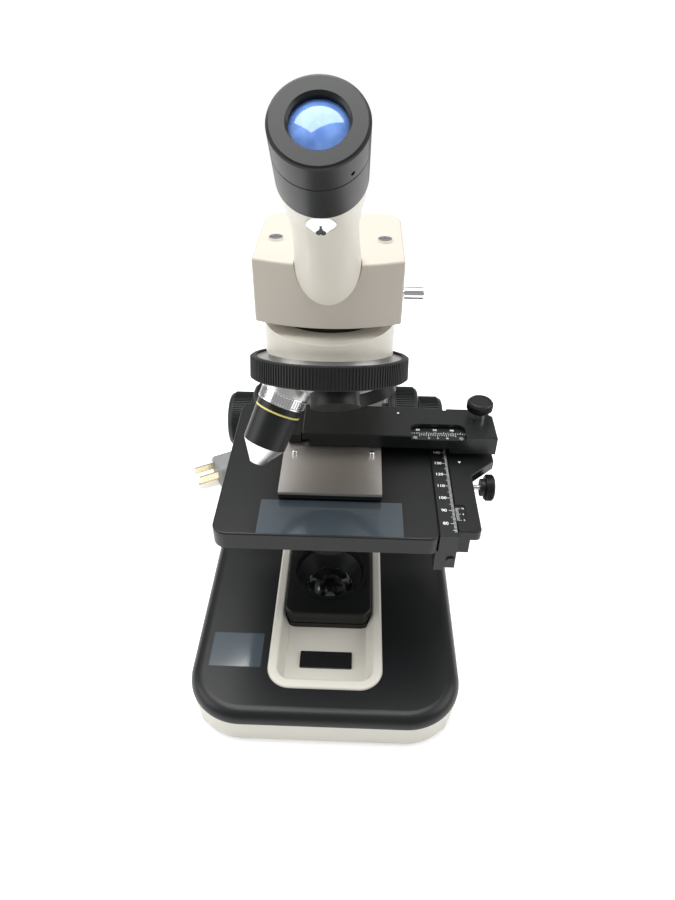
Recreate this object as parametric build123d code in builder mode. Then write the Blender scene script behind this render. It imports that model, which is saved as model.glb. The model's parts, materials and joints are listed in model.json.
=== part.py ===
import os
from math import cos, radians, sin, tan

from build123d import *

os.makedirs("parts", exist_ok=True)

# All sizes are in mm. While modelling, the table is z = 0, X is to the right, Y away from the user,
# and the light axis is x = y = 0.
# Clearances
RUN = 0.06
GAP = 0.1

# Base
BASE_W = 159.0
BASE_FRONT = -104.3
BASE_REAR = 110.0
BASE_CORNER = 33.0
BASE_REAR_CORNER = 22.0
SKIRT_Z = 3.0
SPLIT_Z = 20.4
DECK_Z = 28.0
DECK_ROUND = 7.4
SKIRT_DRAFT = 4.9
WALL = 4.0
FOOT_Z = 1.8
FOOT_R = 9.0
FOOT_SIDE = 20.5
FOOT_END = 26.15
BOSS_R = 7.5
BOSS_SIDE = 14.0
BOSS_END = 17.15
DIAL_Y = 70.0
DIAL_Z = 11.5
SWITCH_X = -37.0
SWITCH_Z = 12.0
BASE_MID = (BASE_FRONT + BASE_REAR) / 2
BASE_LEN = BASE_REAR - BASE_FRONT

# Illuminator
BEZEL_HALF = 34.0
BEZEL_FRONT = -85.4
BEZEL_REAR = 40.0
BEZEL_CORNER = 14.0
BEZEL_RIM = 5.6
BEZEL_TOP = 29.2
FLOOR_Z = 19.5
BEZEL_MID = (BEZEL_FRONT + BEZEL_REAR) / 2
BEZEL_LEN = BEZEL_REAR - BEZEL_FRONT
COLLAR_HALF = 27.3
COLLAR_FRONT = -36.2
COLLAR_REAR = 27.0
COLLAR_TOP = 33.5
WELL_RING_R = 25.0
WELL_R = 22.6
LENS_R = 15.0

# Focus drive
KNOB_Y = 88.0
KNOB_Z = 93.1
COARSE_R = 26.0
FINE_R = 19.6
KNOB_HUB = 5.1
COARSE_W = 20.8
KNOB_SPACE = 0.6
FINE_W = 17.0
SLEEVE_R = 5.0
FINE_SHAFT_R = 3.0
PINION_PITCH = 8.0

# Arm
ARM_R = 31.3
COARSE_IN = ARM_R + KNOB_HUB
COARSE_OUT = COARSE_IN + COARSE_W
FINE_OUT = COARSE_OUT + KNOB_SPACE + FINE_W
HEAD_Y = -10.3
HEAD_TOP = 226.7
ARM_FRONT = 66.0
ARM_REAR = 104.0
SLOT_BACK = KNOB_Y - PINION_PITCH

# Stage
STAGE_TOP = 126.5
STAGE_T = 10.7
STAGE_X0 = -59.8
STAGE_X1 = 58.9
STAGE_Y0 = -60.2
STAGE_Y1 = 60.0
STAGE_BOT = STAGE_TOP - STAGE_T
LIGHT_HOLE = 14.0

# Y movement
RAIL_X1 = 68.7
RAIL_Y0 = -57.9
RAIL_Y1 = 50.0
Y_SHAFT_Y = -6.3
Y_SHAFT_Z = 116.0
SMALL_PINION = 3.2
SMALL_SHAFT = 1.55
CARR_X0 = RAIL_X1 + GAP
CARR_X1 = 81.2
CARR_X2 = 95.8
CARR_Y0 = -53.8
CARR_Y1 = 36.2
CARR_TOP = 126.4
CARR_BOT = 120.6
BLOCK_X0 = CARR_X1 + 1.4
BLOCK_X1 = CARR_X2 - 0.4
GUIDE_BOT = 129.0

# X movement
COVER_X0 = -16.8
COVER_X1 = 96.3
COVER_Y0 = 7.3
COVER_Y1 = 36.3
COVER_TOP = 141.8
COVER_T = 2.0
LIP_BOT = 133.1
X_SHAFT_X = 87.4
X_SHAFT_Y = 28.3
RACK_Y = X_SHAFT_Y - SMALL_PINION - GAP
SLIDER_TOP = 139.0
PLATE_TOP = 132.6
PLATE_T = 1.6
CARRIER_BOT = 128.0

# Nosepiece, given by its top plane and its tilt
NOSE_TILT = 22.0
NOSE_ORIGIN = (0.0, -13.2, 206.1)
GRIP_R = 39.1
GRIP_IN = 36.1
GRIP_H = 11.2
PORT_R = 21.8
PORT_DEPTH = 18.4
OBJECTIVE_TURN = 80.0
MOUNT_R = 30.0
ARM_UNDER = 1.13
CONE_DEPTH = 9.0
PLUG_BACK = 3.2

# Viewing head
BOX_Z0 = 232.0
HEAD_COLLAR_R = 29.4
BOX_Z1 = 261.5
BOX_HALF = 33.0
BOX_FRONT = -35.5
BOX_SAG = 6.5
BOX_REAR = 30.0
TUBE_ANGLE = 48.3
TUBE_FOOT = (0.0, 5.0, 219.7)
SLEEVE_EYE_R = 11.58
EYE_R = 15.55
EYE_S0 = 118.6
EYE_SEAM = 135.0
EYE_S1 = 146.2
EYE_LENS_S = 141.2
EYE_LENS_R = 9.0
CLAMP_S = 112.8
CLAMP_R = 5.1
CLAMP_SEAT = 14.0

# Mains cord
CORD_R = 3.5
GLAND_END = 137.0
CORD_Z = 11.0
COIL_R = 40.0
COIL_Y = 224.0
COIL_X = 5.0


def nose_tilt_plane(depth):
    """Plane square to the nosepiece axis, depth below its top plane."""
    t = radians(NOSE_TILT)
    x, y, z = NOSE_ORIGIN
    return Plane(origin=(x, y - depth * sin(t), z - depth * cos(t)), x_dir=(1, 0, 0), z_dir=(0, sin(t), cos(t)))


def arm_under(y):
    """Height of the arm's sloping underside, parallel to the nosepiece's top plane."""
    t = radians(NOSE_TILT)
    return NOSE_ORIGIN[2] + (ARM_UNDER - (y - NOSE_ORIGIN[1]) * sin(t)) / cos(t)


def port_plane(turn, along=0.0):
    """Plane at a port's shoulder, facing out of the port. Turn 0 is the front port, 90 the left one."""
    t = radians(NOSE_TILT)
    a = radians(turn)
    front = Vector(0, -cos(t), sin(t))
    radial = front * cos(a) + Vector(-1, 0, 0) * sin(a)
    down = Vector(0, -sin(t), -cos(t))
    out = down * cos(t) + radial * sin(t)
    origin = Vector(*NOSE_ORIGIN) + down * PORT_DEPTH + radial * PORT_R + out * along
    side = Vector(0, 0, 1).cross(out).normalized()
    return Plane(origin=origin, x_dir=side, z_dir=out)


def tube_plane(along):
    """Plane square to the eyepiece tube, a distance along its axis."""
    a = radians(TUBE_ANGLE)
    x, y, z = TUBE_FOOT
    return Plane(origin=(x, y - along * cos(a), z + along * sin(a)), x_dir=(1, 0, 0), z_dir=(0, -cos(a), sin(a)))


def side_plane(x, y=KNOB_Y, z=KNOB_Z):
    """Plane facing +X at a point."""
    return Plane(origin=(x, y, z), x_dir=(0, 1, 0), z_dir=(1, 0, 0))


def base_outline(inset):
    """Sketch face of the base, inset all round: wide corners at the front, smaller ones at the back."""
    plate = Pos(0, BASE_MID) * Rectangle(BASE_W - 2 * inset, BASE_LEN - 2 * inset, mode=Mode.PRIVATE)
    plate = fillet(plate.vertices().filter_by(lambda v: v.Y < BASE_MID), BASE_CORNER - inset)
    return fillet(plate.vertices().filter_by(lambda v: v.Y > BASE_MID), BASE_REAR_CORNER - inset)


def bezel_outline(grow):
    """Sketch face of the illuminator bezel, grown by an amount."""
    return Pos(0, BEZEL_MID) * RectangleRounded(
        2 * (BEZEL_HALF + grow), BEZEL_LEN + 2 * grow, BEZEL_CORNER + grow, mode=Mode.PRIVATE
    )


BASE_OUTER = base_outline(0)
BASE_INNER = base_outline(5.5)
BASE_POCKET = base_outline(8)
BASE_FLOOR = base_outline(4)

# Base skirt
with BuildPart() as base_skirt:
    with BuildSketch(Plane.XY.offset(SPLIT_Z)):
        add(BASE_OUTER)
    extrude(amount=-(SPLIT_Z - SKIRT_Z), taper=SKIRT_DRAFT)
    with BuildSketch(Plane.XY.offset(SKIRT_Z)):
        add(BASE_INNER)
    extrude(amount=SPLIT_Z - SKIRT_Z, mode=Mode.SUBTRACT)
    # Dial spindle hole, switch opening and cord hole
    with BuildSketch(side_plane(BASE_W / 2 - 19.5, DIAL_Y, DIAL_Z)):
        Circle(2.4 + RUN)
    extrude(amount=30, mode=Mode.SUBTRACT)
    with BuildSketch(Plane.XZ.offset(-BASE_REAR + 12)):
        with Locations((SWITCH_X, SWITCH_Z)):
            Rectangle(14.2, 10)
    extrude(amount=-20, mode=Mode.SUBTRACT)
    with BuildSketch(Plane.XZ.offset(-BASE_REAR + 12)):
        with Locations((COIL_X + COIL_R, CORD_Z)):
            Circle(5.0)
    extrude(amount=-20, mode=Mode.SUBTRACT)
    # Bosses for the bottom screws
    with BuildSketch(Plane.XY.offset(SKIRT_Z)):
        with Locations((0, BASE_MID)):
            with GridLocations(BASE_W - 2 * BOSS_SIDE, BASE_LEN - 2 * BOSS_END, 2, 2):
                Circle(BOSS_R)
    extrude(amount=10)

# Base cover
with BuildPart() as base_cover:
    with BuildSketch(Plane.XY.offset(SPLIT_Z)):
        add(BASE_OUTER)
    extrude(amount=DECK_Z - SPLIT_Z)
    fillet(base_cover.faces().sort_by(Axis.Z)[-1].edges(), DECK_ROUND)
    with BuildSketch(Plane.XY.offset(SPLIT_Z)):
        add(BASE_POCKET)
    extrude(amount=4.4, mode=Mode.SUBTRACT)
    with BuildSketch(Plane.XY.offset(SPLIT_Z)):
        add(bezel_outline(0.15))
    extrude(amount=20, mode=Mode.SUBTRACT)

# Bottom plate
with BuildPart() as bottom_plate:
    with BuildSketch(Plane.XY.offset(FOOT_Z)):
        add(BASE_FLOOR)
    extrude(amount=SKIRT_Z - FOOT_Z)

# Four rubber feet
with BuildPart() as rubber_feet:
    with BuildSketch(Plane.XY):
        with Locations((0, BASE_MID)):
            with GridLocations(BASE_W - 2 * FOOT_SIDE, BASE_LEN - 2 * FOOT_END, 2, 2):
                Circle(FOOT_R)
    extrude(amount=FOOT_Z)

# Illuminator bezel with its sunk floor
with BuildPart() as illuminator_bezel:
    with BuildSketch(Plane.XY.offset(FLOOR_Z - 2)):
        add(bezel_outline(0))
    extrude(amount=BEZEL_TOP - FLOOR_Z + 2)
    with BuildSketch(Plane.XY.offset(BEZEL_TOP)):
        add(bezel_outline(-BEZEL_RIM))
    extrude(amount=-(BEZEL_TOP - FLOOR_Z), taper=22, mode=Mode.SUBTRACT)
    fillet(illuminator_bezel.faces().sort_by(Axis.Z)[-1].edges(), 1.6)
    with BuildSketch(Plane.XY.offset(FLOOR_Z - 2)):
        Circle(LENS_R)
    extrude(amount=4, mode=Mode.SUBTRACT)
    # Pocket that lets the filter collar down to the floor
    with BuildSketch(Plane.XY.offset(FLOOR_Z)):
        with Locations((0, (COLLAR_FRONT + COLLAR_REAR) / 2)):
            RectangleRounded(2 * COLLAR_HALF + 0.3, COLLAR_REAR - COLLAR_FRONT + 0.3, 7.15)
    extrude(amount=20, mode=Mode.SUBTRACT)

# Blank badge plate on the floor
with BuildPart() as badge_plate:
    with BuildSketch(Plane.XY.offset(FLOOR_Z)):
        with Locations((0, -60.6)):
            RectangleRounded(31.6, 11.4, 0.6)
    extrude(amount=1.2)

# Filter collar, three stacked layers with a conical well
with BuildPart() as filter_collar:
    for low, high, inset in ((FLOOR_Z, 23.4, 0.0), (23.4, 24.0, 0.9), (24.0, 27.6, 0.3), (27.6, 28.2, 1.1),
                             (28.2, COLLAR_TOP, 0.0)):
        with BuildSketch(Plane.XY.offset(low)):
            with Locations((0, (COLLAR_FRONT + COLLAR_REAR) / 2)):
                RectangleRounded(
                    2 * (COLLAR_HALF - inset), COLLAR_REAR - COLLAR_FRONT - 2 * inset, 7.0 - inset
                )
        extrude(amount=high - low)
    fillet(filter_collar.faces().sort_by(Axis.Z)[-1].edges(), 1.0)
    with BuildSketch(Plane.XY.offset(COLLAR_TOP)):
        Circle(WELL_RING_R)
    extrude(amount=0.8)
    with BuildSketch(Plane.XZ):
        with BuildLine():
            Polyline(
                (0, COLLAR_TOP + 2), (WELL_R, COLLAR_TOP + 2), (WELL_R, 31.0), (21.2, 31.0), (LENS_R + GAP, FLOOR_Z + 0.3),
                (LENS_R + GAP, FLOOR_Z - 1), (0, FLOOR_Z - 1), close=True,
            )
        make_face()
    revolve(axis=Axis.Z, mode=Mode.SUBTRACT)

# Field lens under the well
with BuildPart() as field_lens:
    with BuildSketch(Plane.XZ):
        with BuildLine():
            Line((0, FLOOR_Z - 2), (LENS_R, FLOOR_Z - 2))
            Line((LENS_R, FLOOR_Z - 2), (LENS_R, FLOOR_Z + 0.2))
            TangentArc((0, FLOOR_Z + 4.8), (LENS_R, FLOOR_Z + 0.2), tangent=(1, 0))
            Line((0, FLOOR_Z + 4.8), (0, FLOOR_Z - 2))
        make_face()
    revolve(axis=Axis.Z)

# Lamp under the field lens
with BuildPart() as lamp_socket:
    with BuildSketch(Plane.XY.offset(SKIRT_Z)):
        RectangleRounded(26, 22, 3)
    extrude(amount=3)
    with BuildSketch(Plane.XY.offset(SKIRT_Z + 3)):
        Circle(6.5)
    extrude(amount=2.5)

with BuildPart() as lamp_bulb:
    with BuildSketch(Plane.XZ):
        with BuildLine():
            Line((0, 8.5), (4.2, 8.5))
            Line((4.2, 8.5), (4.2, 12.0))
            TangentArc((0, 15.8), (4.2, 12.0), tangent=(1, 0))
            Line((0, 15.8), (0, 8.5))
        make_face()
    revolve(axis=Axis.Z)

# Transformer on the bottom plate
with BuildPart() as transformer:
    with BuildSketch(Plane.XY.offset(SKIRT_Z)):
        with Locations((-30, 73)):
            Rectangle(44, 36)
    extrude(amount=16)
    with BuildSketch(Plane.XY.offset(SKIRT_Z + 2)):
        with Locations((-30, 73)):
            RectangleRounded(28, 50, 4)
    extrude(amount=13)

# Brightness dial on the right side of the skirt
with BuildPart() as brightness_dial:
    with BuildSketch(side_plane(BASE_W / 2 + GAP, DIAL_Y, DIAL_Z)):
        Circle(7.6)
    extrude(amount=5)
    chamfer(brightness_dial.faces().sort_by(Axis.X)[-1].edges(), 0.8)
    with BuildSketch(side_plane(BASE_W / 2 + 0.5, DIAL_Y, DIAL_Z)):
        Circle(2.4)
    extrude(amount=-9)
    with BuildSketch(side_plane(BASE_W / 2 + 5.5, DIAL_Y, DIAL_Z + 5.5)):
        Rectangle(1.0, 3.0)
    extrude(amount=-1.0, mode=Mode.SUBTRACT)

# Rocker of the power switch, at the back
with BuildPart() as power_switch:
    with BuildSketch(side_plane(SWITCH_X - 6.5, BASE_REAR, SWITCH_Z)):
        with BuildLine():
            Polyline(
                (-6.0, -3.6), (0.4, -4.1), (-0.4, 0.0), (1.2, 4.1), (-6.0, 3.6), close=True,
            )
        make_face()
    extrude(amount=13)

# Arm casting: foot, column, and a head with a round front over the nosepiece
with BuildPart() as arm_casting:
    with BuildSketch(Plane.YZ.offset(-ARM_R)):
        with BuildLine():
            Line((HEAD_Y - ARM_R, HEAD_TOP), (78, HEAD_TOP))
            TangentArc((78, HEAD_TOP), (ARM_REAR, HEAD_TOP - 26), tangent=(1, 0))
            Line((ARM_REAR, HEAD_TOP - 26), (ARM_REAR, DECK_Z))
            Line((ARM_REAR, DECK_Z), (ARM_FRONT, DECK_Z))
            Line((ARM_FRONT, DECK_Z), (ARM_FRONT, 160))
            Spline(
                (ARM_FRONT, 160), (58, 178), (28, arm_under(28)),
                tangents=((0, 1), (-cos(radians(NOSE_TILT)), sin(radians(NOSE_TILT)))),
            )
            Line((28, arm_under(28)), (HEAD_Y - ARM_R, arm_under(HEAD_Y - ARM_R)))
            Line((HEAD_Y - ARM_R, arm_under(HEAD_Y - ARM_R)), (HEAD_Y - ARM_R, HEAD_TOP))
        make_face()
    extrude(amount=2 * ARM_R)
    with BuildSketch(Plane.XY.offset(DECK_Z)):
        with BuildLine():
            ThreePointArc((-ARM_R, HEAD_Y), (0, HEAD_Y - ARM_R), (ARM_R, HEAD_Y))
            Line((ARM_R, HEAD_Y), (ARM_R, ARM_REAR - 12))
            RadiusArc((ARM_R, ARM_REAR - 12), (ARM_R - 12, ARM_REAR), -12)
            Line((ARM_R - 12, ARM_REAR), (12 - ARM_R, ARM_REAR))
            RadiusArc((12 - ARM_R, ARM_REAR), (-ARM_R, ARM_REAR - 12), -12)
            Line((-ARM_R, ARM_REAR - 12), (-ARM_R, HEAD_Y))
        make_face()
    extrude(amount=HEAD_TOP - DECK_Z, mode=Mode.INTERSECT)
    # Slot with a wider back for the coarse slide, pinion chamber, shaft bore
    with BuildSketch(Plane.XY.offset(48)):
        with Locations((0, (ARM_FRONT + 68) / 2 - 1)):
            Rectangle(28.2, 68 - ARM_FRONT + 2)
        with Locations((0, (68 + SLOT_BACK) / 2)):
            Rectangle(34.2, SLOT_BACK - 68)
    extrude(amount=104, mode=Mode.SUBTRACT)
    with BuildSketch(side_plane(-8.5)):
        Circle(PINION_PITCH + 1)
    extrude(amount=17, mode=Mode.SUBTRACT)
    with BuildSketch(side_plane(-ARM_R)):
        Circle(SLEEVE_R + RUN)
    extrude(amount=2 * ARM_R, mode=Mode.SUBTRACT)
    # Light path and the socket of the viewing head
    with BuildSketch(Plane.XY.offset(180)):
        Circle(9.0)
    extrude(amount=60, mode=Mode.SUBTRACT)
    # Seat of the nosepiece mount
    with BuildSketch(nose_tilt_plane(-1.0)):
        Circle(5.9)
    extrude(amount=9, mode=Mode.SUBTRACT)

# Coarse slide, wider at its back, with the rack face towards the pinion
with BuildPart() as coarse_slide:
    with BuildSketch(Plane.XY.offset(76)):
        with Locations((0, (62.2 + 68) / 2)):
            Rectangle(28.0, 68 - 62.2)
        with Locations((0, (68.08 + SLOT_BACK - GAP) / 2)):
            Rectangle(34.0, SLOT_BACK - GAP - 68.08)
        with Locations((0, 68.04)):
            Rectangle(28.0, 0.2)
    extrude(amount=50)
    with BuildSketch(Plane.XY.offset(76)):
        with Locations((0, 60.1)):
            Rectangle(12.0, 4.3)
    extrude(amount=STAGE_BOT - 1.0 - 76)

# Coarse knobs on their sleeve, with the pinion between
with BuildPart() as coarse_knobs:
    with BuildSketch(side_plane(-COARSE_OUT)):
        Circle(SLEEVE_R)
        Circle(FINE_SHAFT_R + RUN, mode=Mode.SUBTRACT)
    extrude(amount=2 * COARSE_OUT)
    with BuildSketch(side_plane(-8)):
        Circle(PINION_PITCH - GAP)
        Circle(FINE_SHAFT_R + RUN, mode=Mode.SUBTRACT)
    extrude(amount=16)
    for side in (-1, 1):
        with BuildSketch(side_plane(side * COARSE_IN)):
            Circle(COARSE_R)
            Circle(FINE_SHAFT_R + RUN, mode=Mode.SUBTRACT)
        extrude(amount=side * (COARSE_OUT - COARSE_IN))
        with BuildSketch(side_plane(side * (ARM_R + GAP))):
            Circle(14.0)
            Circle(FINE_SHAFT_R + RUN, mode=Mode.SUBTRACT)
        extrude(amount=side * (COARSE_IN - ARM_R - GAP))
    chamfer(
        coarse_knobs.edges().filter_by(GeomType.CIRCLE).filter_by(lambda e: abs(e.radius - COARSE_R) < 0.01), 1.6
    )

# Fine knobs on the through shaft
with BuildPart() as fine_knobs:
    with BuildSketch(side_plane(-COARSE_OUT - 5)):
        Circle(FINE_SHAFT_R)
    extrude(amount=2 * COARSE_OUT + 10)
    for side in (-1, 1):
        with BuildSketch(side_plane(side * (COARSE_OUT + KNOB_SPACE))):
            Circle(FINE_R)
        extrude(amount=side * FINE_W)
    fillet(
        fine_knobs.edges().filter_by(GeomType.CIRCLE).filter_by(
            lambda e: abs(e.radius - FINE_R) < 0.01 and abs(abs(e.center().X) - FINE_OUT) < 0.01
        ),
        3.0,
    )

# Stage bracket: back plate with a groove over the slide's rib, two arms under the stage
with BuildPart() as stage_bracket:
    with BuildSketch(Plane.XY.offset(80)):
        with Locations((0, (53 + 62.1) / 2)):
            Rectangle(48, 62.1 - 53)
    extrude(amount=STAGE_BOT - 80)
    with BuildSketch(Plane.XY.offset(106)):
        with Locations((-25, 20), (25, 20)):
            Rectangle(9, 70)
    extrude(amount=STAGE_BOT - 106)
    with BuildSketch(Plane.XY.offset(70)):
        with Locations((0, 60.1)):
            Rectangle(12.0 + 2 * RUN, 4.5)
    extrude(amount=60, mode=Mode.SUBTRACT)

# Stage plate
with BuildPart() as stage_plate:
    with BuildSketch(Plane.XY.offset(STAGE_BOT)):
        with Locations(((STAGE_X0 + STAGE_X1) / 2, (STAGE_Y0 + STAGE_Y1) / 2)):
            Rectangle(STAGE_X1 - STAGE_X0, STAGE_Y1 - STAGE_Y0)
        fillet(vertices().filter_by(lambda v: v.X < 0), 8.0)
        fillet(vertices().filter_by(lambda v: v.X > STAGE_X1 - 0.1 and v.Y < 0), 5.0)
        Circle(LIGHT_HOLE, mode=Mode.SUBTRACT)
    extrude(amount=STAGE_T)
    fillet(stage_plate.faces().sort_by(Axis.Z)[-1].outer_wire().edges(), 1.0)

# Condenser holder: ring on an arm from the bracket
with BuildPart() as condenser_holder:
    with BuildSketch(Plane.XY.offset(88)):
        Circle(24.5)
        with Locations((0, 37)):
            Rectangle(18, 32)
        Circle(20.0 + RUN, mode=Mode.SUBTRACT)
    extrude(amount=10)

# Condenser body with its filter ring below
with BuildPart() as condenser_body:
    with BuildSketch(Plane.XZ):
        with BuildLine():
            Polyline(
                (8.0, 69), (19.6, 69), (19.6, 76.4), (17.6, 76.4), (17.6, 84.0), (20.0, 84.0), (20.0, 105.0),
                (14.6, 107.5), (12.5, 113.5), (6.0, 113.5), (6.0, 98.0), (15.0, 90.0), (15.0, 78.0), (8.0, 74.0),
                close=True,
            )
        make_face()
    revolve(axis=Axis.Z)

# Iris lever turning round the condenser's neck
with BuildPart() as iris_lever:
    with BuildSketch(Plane.XY.offset(77)):
        Circle(21.0)
        with Locations((-27, 0)):
            Rectangle(14, 3.4)
        Circle(17.6 + RUN, mode=Mode.SUBTRACT)
    extrude(amount=6.4)

# Y rail with its rack strip, end block and end screw
with BuildPart() as y_rail:
    with BuildSketch(Plane.XZ.offset(-RAIL_Y0)):
        with BuildLine():
            Polyline(
                (STAGE_X1, STAGE_TOP), (RAIL_X1, STAGE_TOP), (RAIL_X1, 121.5), (68.0, 121.5), (68.0, 119.3),
                (64.0, 119.3), (64.0, 121.5), (62.9, 121.5), (62.9, 101.5), (57.6, 101.5),
                (57.6, STAGE_BOT), (STAGE_X1, STAGE_BOT), close=True,
            )
        make_face()
    extrude(amount=-(RAIL_Y1 - RAIL_Y0))
    with BuildSketch(Plane.XZ.offset(-RAIL_Y0)):
        with Locations(((62.9 + 68.6) / 2, (103.5 + 121.5) / 2)):
            Rectangle(68.6 - 62.9, 121.5 - 103.5)
    extrude(amount=-3.4)
    with BuildSketch(Plane.XZ.offset(-RAIL_Y0)):
        with Locations((66.0, 109.2)):
            Circle(2.4)
    extrude(amount=0.9)
    chamfer(y_rail.edges().filter_by(Axis.Y).filter_by(lambda e: e.center().Z > STAGE_TOP - 0.01), 0.4)

# Y carriage: plate with a vernier recess, shaft block below, pinion block for X behind
with BuildPart() as y_carriage:
    with BuildSketch(Plane.XY.offset(CARR_BOT)):
        with BuildLine():
            Polyline(
                (CARR_X0, CARR_Y0), (CARR_X1, CARR_Y0), (CARR_X1, -8.4), (CARR_X2, 5.6), (CARR_X2, CARR_Y1),
                (CARR_X0, CARR_Y1), close=True,
            )
        make_face()
        fillet(vertices().filter_by(lambda v: v.Y < CARR_Y0 + 0.1 and v.X > CARR_X1 - 0.1), 3.0)
    extrude(amount=CARR_TOP - CARR_BOT)
    chamfer(y_carriage.faces().sort_by(Axis.Z)[-1].outer_wire().edges(), 0.4)
    with BuildSketch(Plane.XY.offset(CARR_TOP)):
        with Locations((71.2, -39.6)):
            RectangleRounded(6.4, 12.2, 1.2)
    extrude(amount=-0.5, mode=Mode.SUBTRACT)
    with BuildSketch(Plane.XY.offset(111)):
        with Locations(((69.0 + 75.6) / 2, -17)):
            Rectangle(6.6, 73)
    extrude(amount=CARR_BOT - 111)
    with BuildSketch(side_plane(60, Y_SHAFT_Y, Y_SHAFT_Z)):
        Circle(SMALL_SHAFT + RUN)
    extrude(amount=30, mode=Mode.SUBTRACT)
    with BuildSketch(Plane.XY.offset(CARR_TOP)):
        with Locations(((BLOCK_X0 + BLOCK_X1) / 2, (22 + CARR_Y1 - 0.4) / 2)):
            Rectangle(BLOCK_X1 - BLOCK_X0, CARR_Y1 - 0.4 - 22)
        with Locations(((CARR_X0 + 0.6 + BLOCK_X0) / 2, CARR_Y1 - 5.2)):
            Rectangle(BLOCK_X0 - CARR_X0 - 0.6, 9)
    extrude(amount=GUIDE_BOT - CARR_TOP)
    with BuildSketch(Plane.XY.offset(GUIDE_BOT)):
        with Locations(((BLOCK_X0 + BLOCK_X1) / 2, (RACK_Y + GAP + CARR_Y1 - 0.4) / 2)):
            Rectangle(BLOCK_X1 - BLOCK_X0, CARR_Y1 - 0.4 - RACK_Y - GAP)
    extrude(amount=COVER_TOP - COVER_T - GUIDE_BOT)
    with BuildSketch(Plane.XY.offset(130.6)):
        with Locations((X_SHAFT_X, X_SHAFT_Y)):
            Circle(SMALL_PINION + 0.4)
        with Locations((X_SHAFT_X, X_SHAFT_Y - 3)):
            Rectangle(2 * SMALL_PINION + 0.8, 6)
    extrude(amount=5.8, mode=Mode.SUBTRACT)
    with BuildSketch(Plane.XY.offset(136.8)):
        with Locations((89, RACK_Y + 0.65)):
            Rectangle(16, 1.3)
    extrude(amount=1.8, mode=Mode.SUBTRACT)
    with BuildSketch(Plane.XY.offset(127.5)):
        with Locations((X_SHAFT_X, X_SHAFT_Y)):
            Circle(1.9 + RUN)
    extrude(amount=20, mode=Mode.SUBTRACT)
    chamfer(y_carriage.edges().filter_by(Axis.Z).filter_by(
        lambda e: e.center().Z > GUIDE_BOT + 1 and e.center().X > BLOCK_X1 - 0.1 and e.center().Y > CARR_Y1 - 0.5), 4.5)
    # Tongue that runs under the rail's top strip
    with BuildSketch(Plane.XY.offset(113.0)):
        with Locations((66.3, -35)):
            Rectangle(5.6, 24)
    extrude(amount=3.0)

# Y pinion shaft and knob
with BuildPart() as y_shaft:
    with BuildSketch(side_plane(64.2, Y_SHAFT_Y, Y_SHAFT_Z)):
        Circle(SMALL_PINION)
    extrude(amount=3.6)
    with BuildSketch(side_plane(64.2, Y_SHAFT_Y, Y_SHAFT_Z)):
        Circle(SMALL_SHAFT)
    extrude(amount=90.0 - 64.2)

with BuildPart() as y_knob:
    with BuildSketch(side_plane(87.4, Y_SHAFT_Y, Y_SHAFT_Z)):
        Circle(5.2)
    extrude(amount=2.6)
    with BuildSketch(side_plane(90.0, Y_SHAFT_Y, Y_SHAFT_Z)):
        Circle(7.8)
    extrude(amount=5.4)
    fillet(y_knob.faces().sort_by(Axis.X)[-1].edges(), 0.9)
    with BuildSketch(side_plane(87.4, Y_SHAFT_Y, Y_SHAFT_Z)):
        Circle(SMALL_SHAFT)
    extrude(amount=2.6, mode=Mode.SUBTRACT)

# X guide bar behind the slider
with BuildPart() as x_guide:
    with BuildSketch(Plane.YZ.offset(-16.4)):
        with BuildLine():
            Polyline(
                (RACK_Y + GAP, GUIDE_BOT), (CARR_Y1 - 0.8, GUIDE_BOT), (CARR_Y1 - 0.8, COVER_TOP - COVER_T),
                (RACK_Y + GAP, COVER_TOP - COVER_T), (RACK_Y + GAP, 138.6), (RACK_Y + 1.3, 138.6),
                (RACK_Y + 1.3, 136.8), (RACK_Y + GAP, 136.8), close=True,
            )
        make_face()
    extrude(amount=BLOCK_X0 - 0.1 + 16.4)

# X cover with a front lip, a scale window and the knob hole
with BuildPart() as x_cover:
    with BuildSketch(Plane.XY.offset(COVER_TOP - COVER_T)):
        with Locations(((COVER_X0 + COVER_X1) / 2, (COVER_Y0 + COVER_Y1) / 2)):
            Rectangle(COVER_X1 - COVER_X0, COVER_Y1 - COVER_Y0)
        chamfer(vertices().filter_by(lambda v: v.X > COVER_X0 + 1 and v.Y > COVER_Y0 + 1), 7.0)
    extrude(amount=COVER_T)
    with BuildSketch(Plane.XY.offset(LIP_BOT)):
        with Locations(((-12.5 + COVER_X1) / 2, COVER_Y0 + 1.0)):
            Rectangle(COVER_X1 + 12.5, 2.0)
    extrude(amount=COVER_TOP - LIP_BOT)
    with BuildSketch(Plane.XY.offset(137.4)):
        with Locations(((COVER_X0 - 12.5) / 2, COVER_Y0 + 1.0)):
            Rectangle(-12.5 - COVER_X0, 2.0)
    extrude(amount=COVER_TOP - 137.4)
    with BuildSketch(Plane.XY.offset(130.0)):
        with Locations(((69.4 + COVER_X1) / 2, COVER_Y0 + 1.0)):
            Rectangle(COVER_X1 - 69.4, 2.0)
    extrude(amount=LIP_BOT - 130.0)
    chamfer(x_cover.faces().sort_by(Axis.Z)[-1].edges(), 0.5)
    with BuildSketch(Plane.XY.offset(COVER_TOP - COVER_T)):
        with Locations((67.5, COVER_Y1)):
            Rectangle(3.1, 4.0)
    extrude(amount=COVER_T, mode=Mode.SUBTRACT)
    # Window, open at the front
    with BuildSketch(Plane.XY.offset(138.2)):
        with Locations((62.4, 11.5)):
            RectangleRounded(31.8, 16.4, 4.6)
        with Locations((62.4, 7.6)):
            Rectangle(31.8, 4.0)
    extrude(amount=10, mode=Mode.SUBTRACT)
    with BuildSketch(Plane.XY.offset(130)):
        with Locations((X_SHAFT_X, X_SHAFT_Y)):
            Circle(1.9 + RUN)
    extrude(amount=20, mode=Mode.SUBTRACT)

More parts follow.
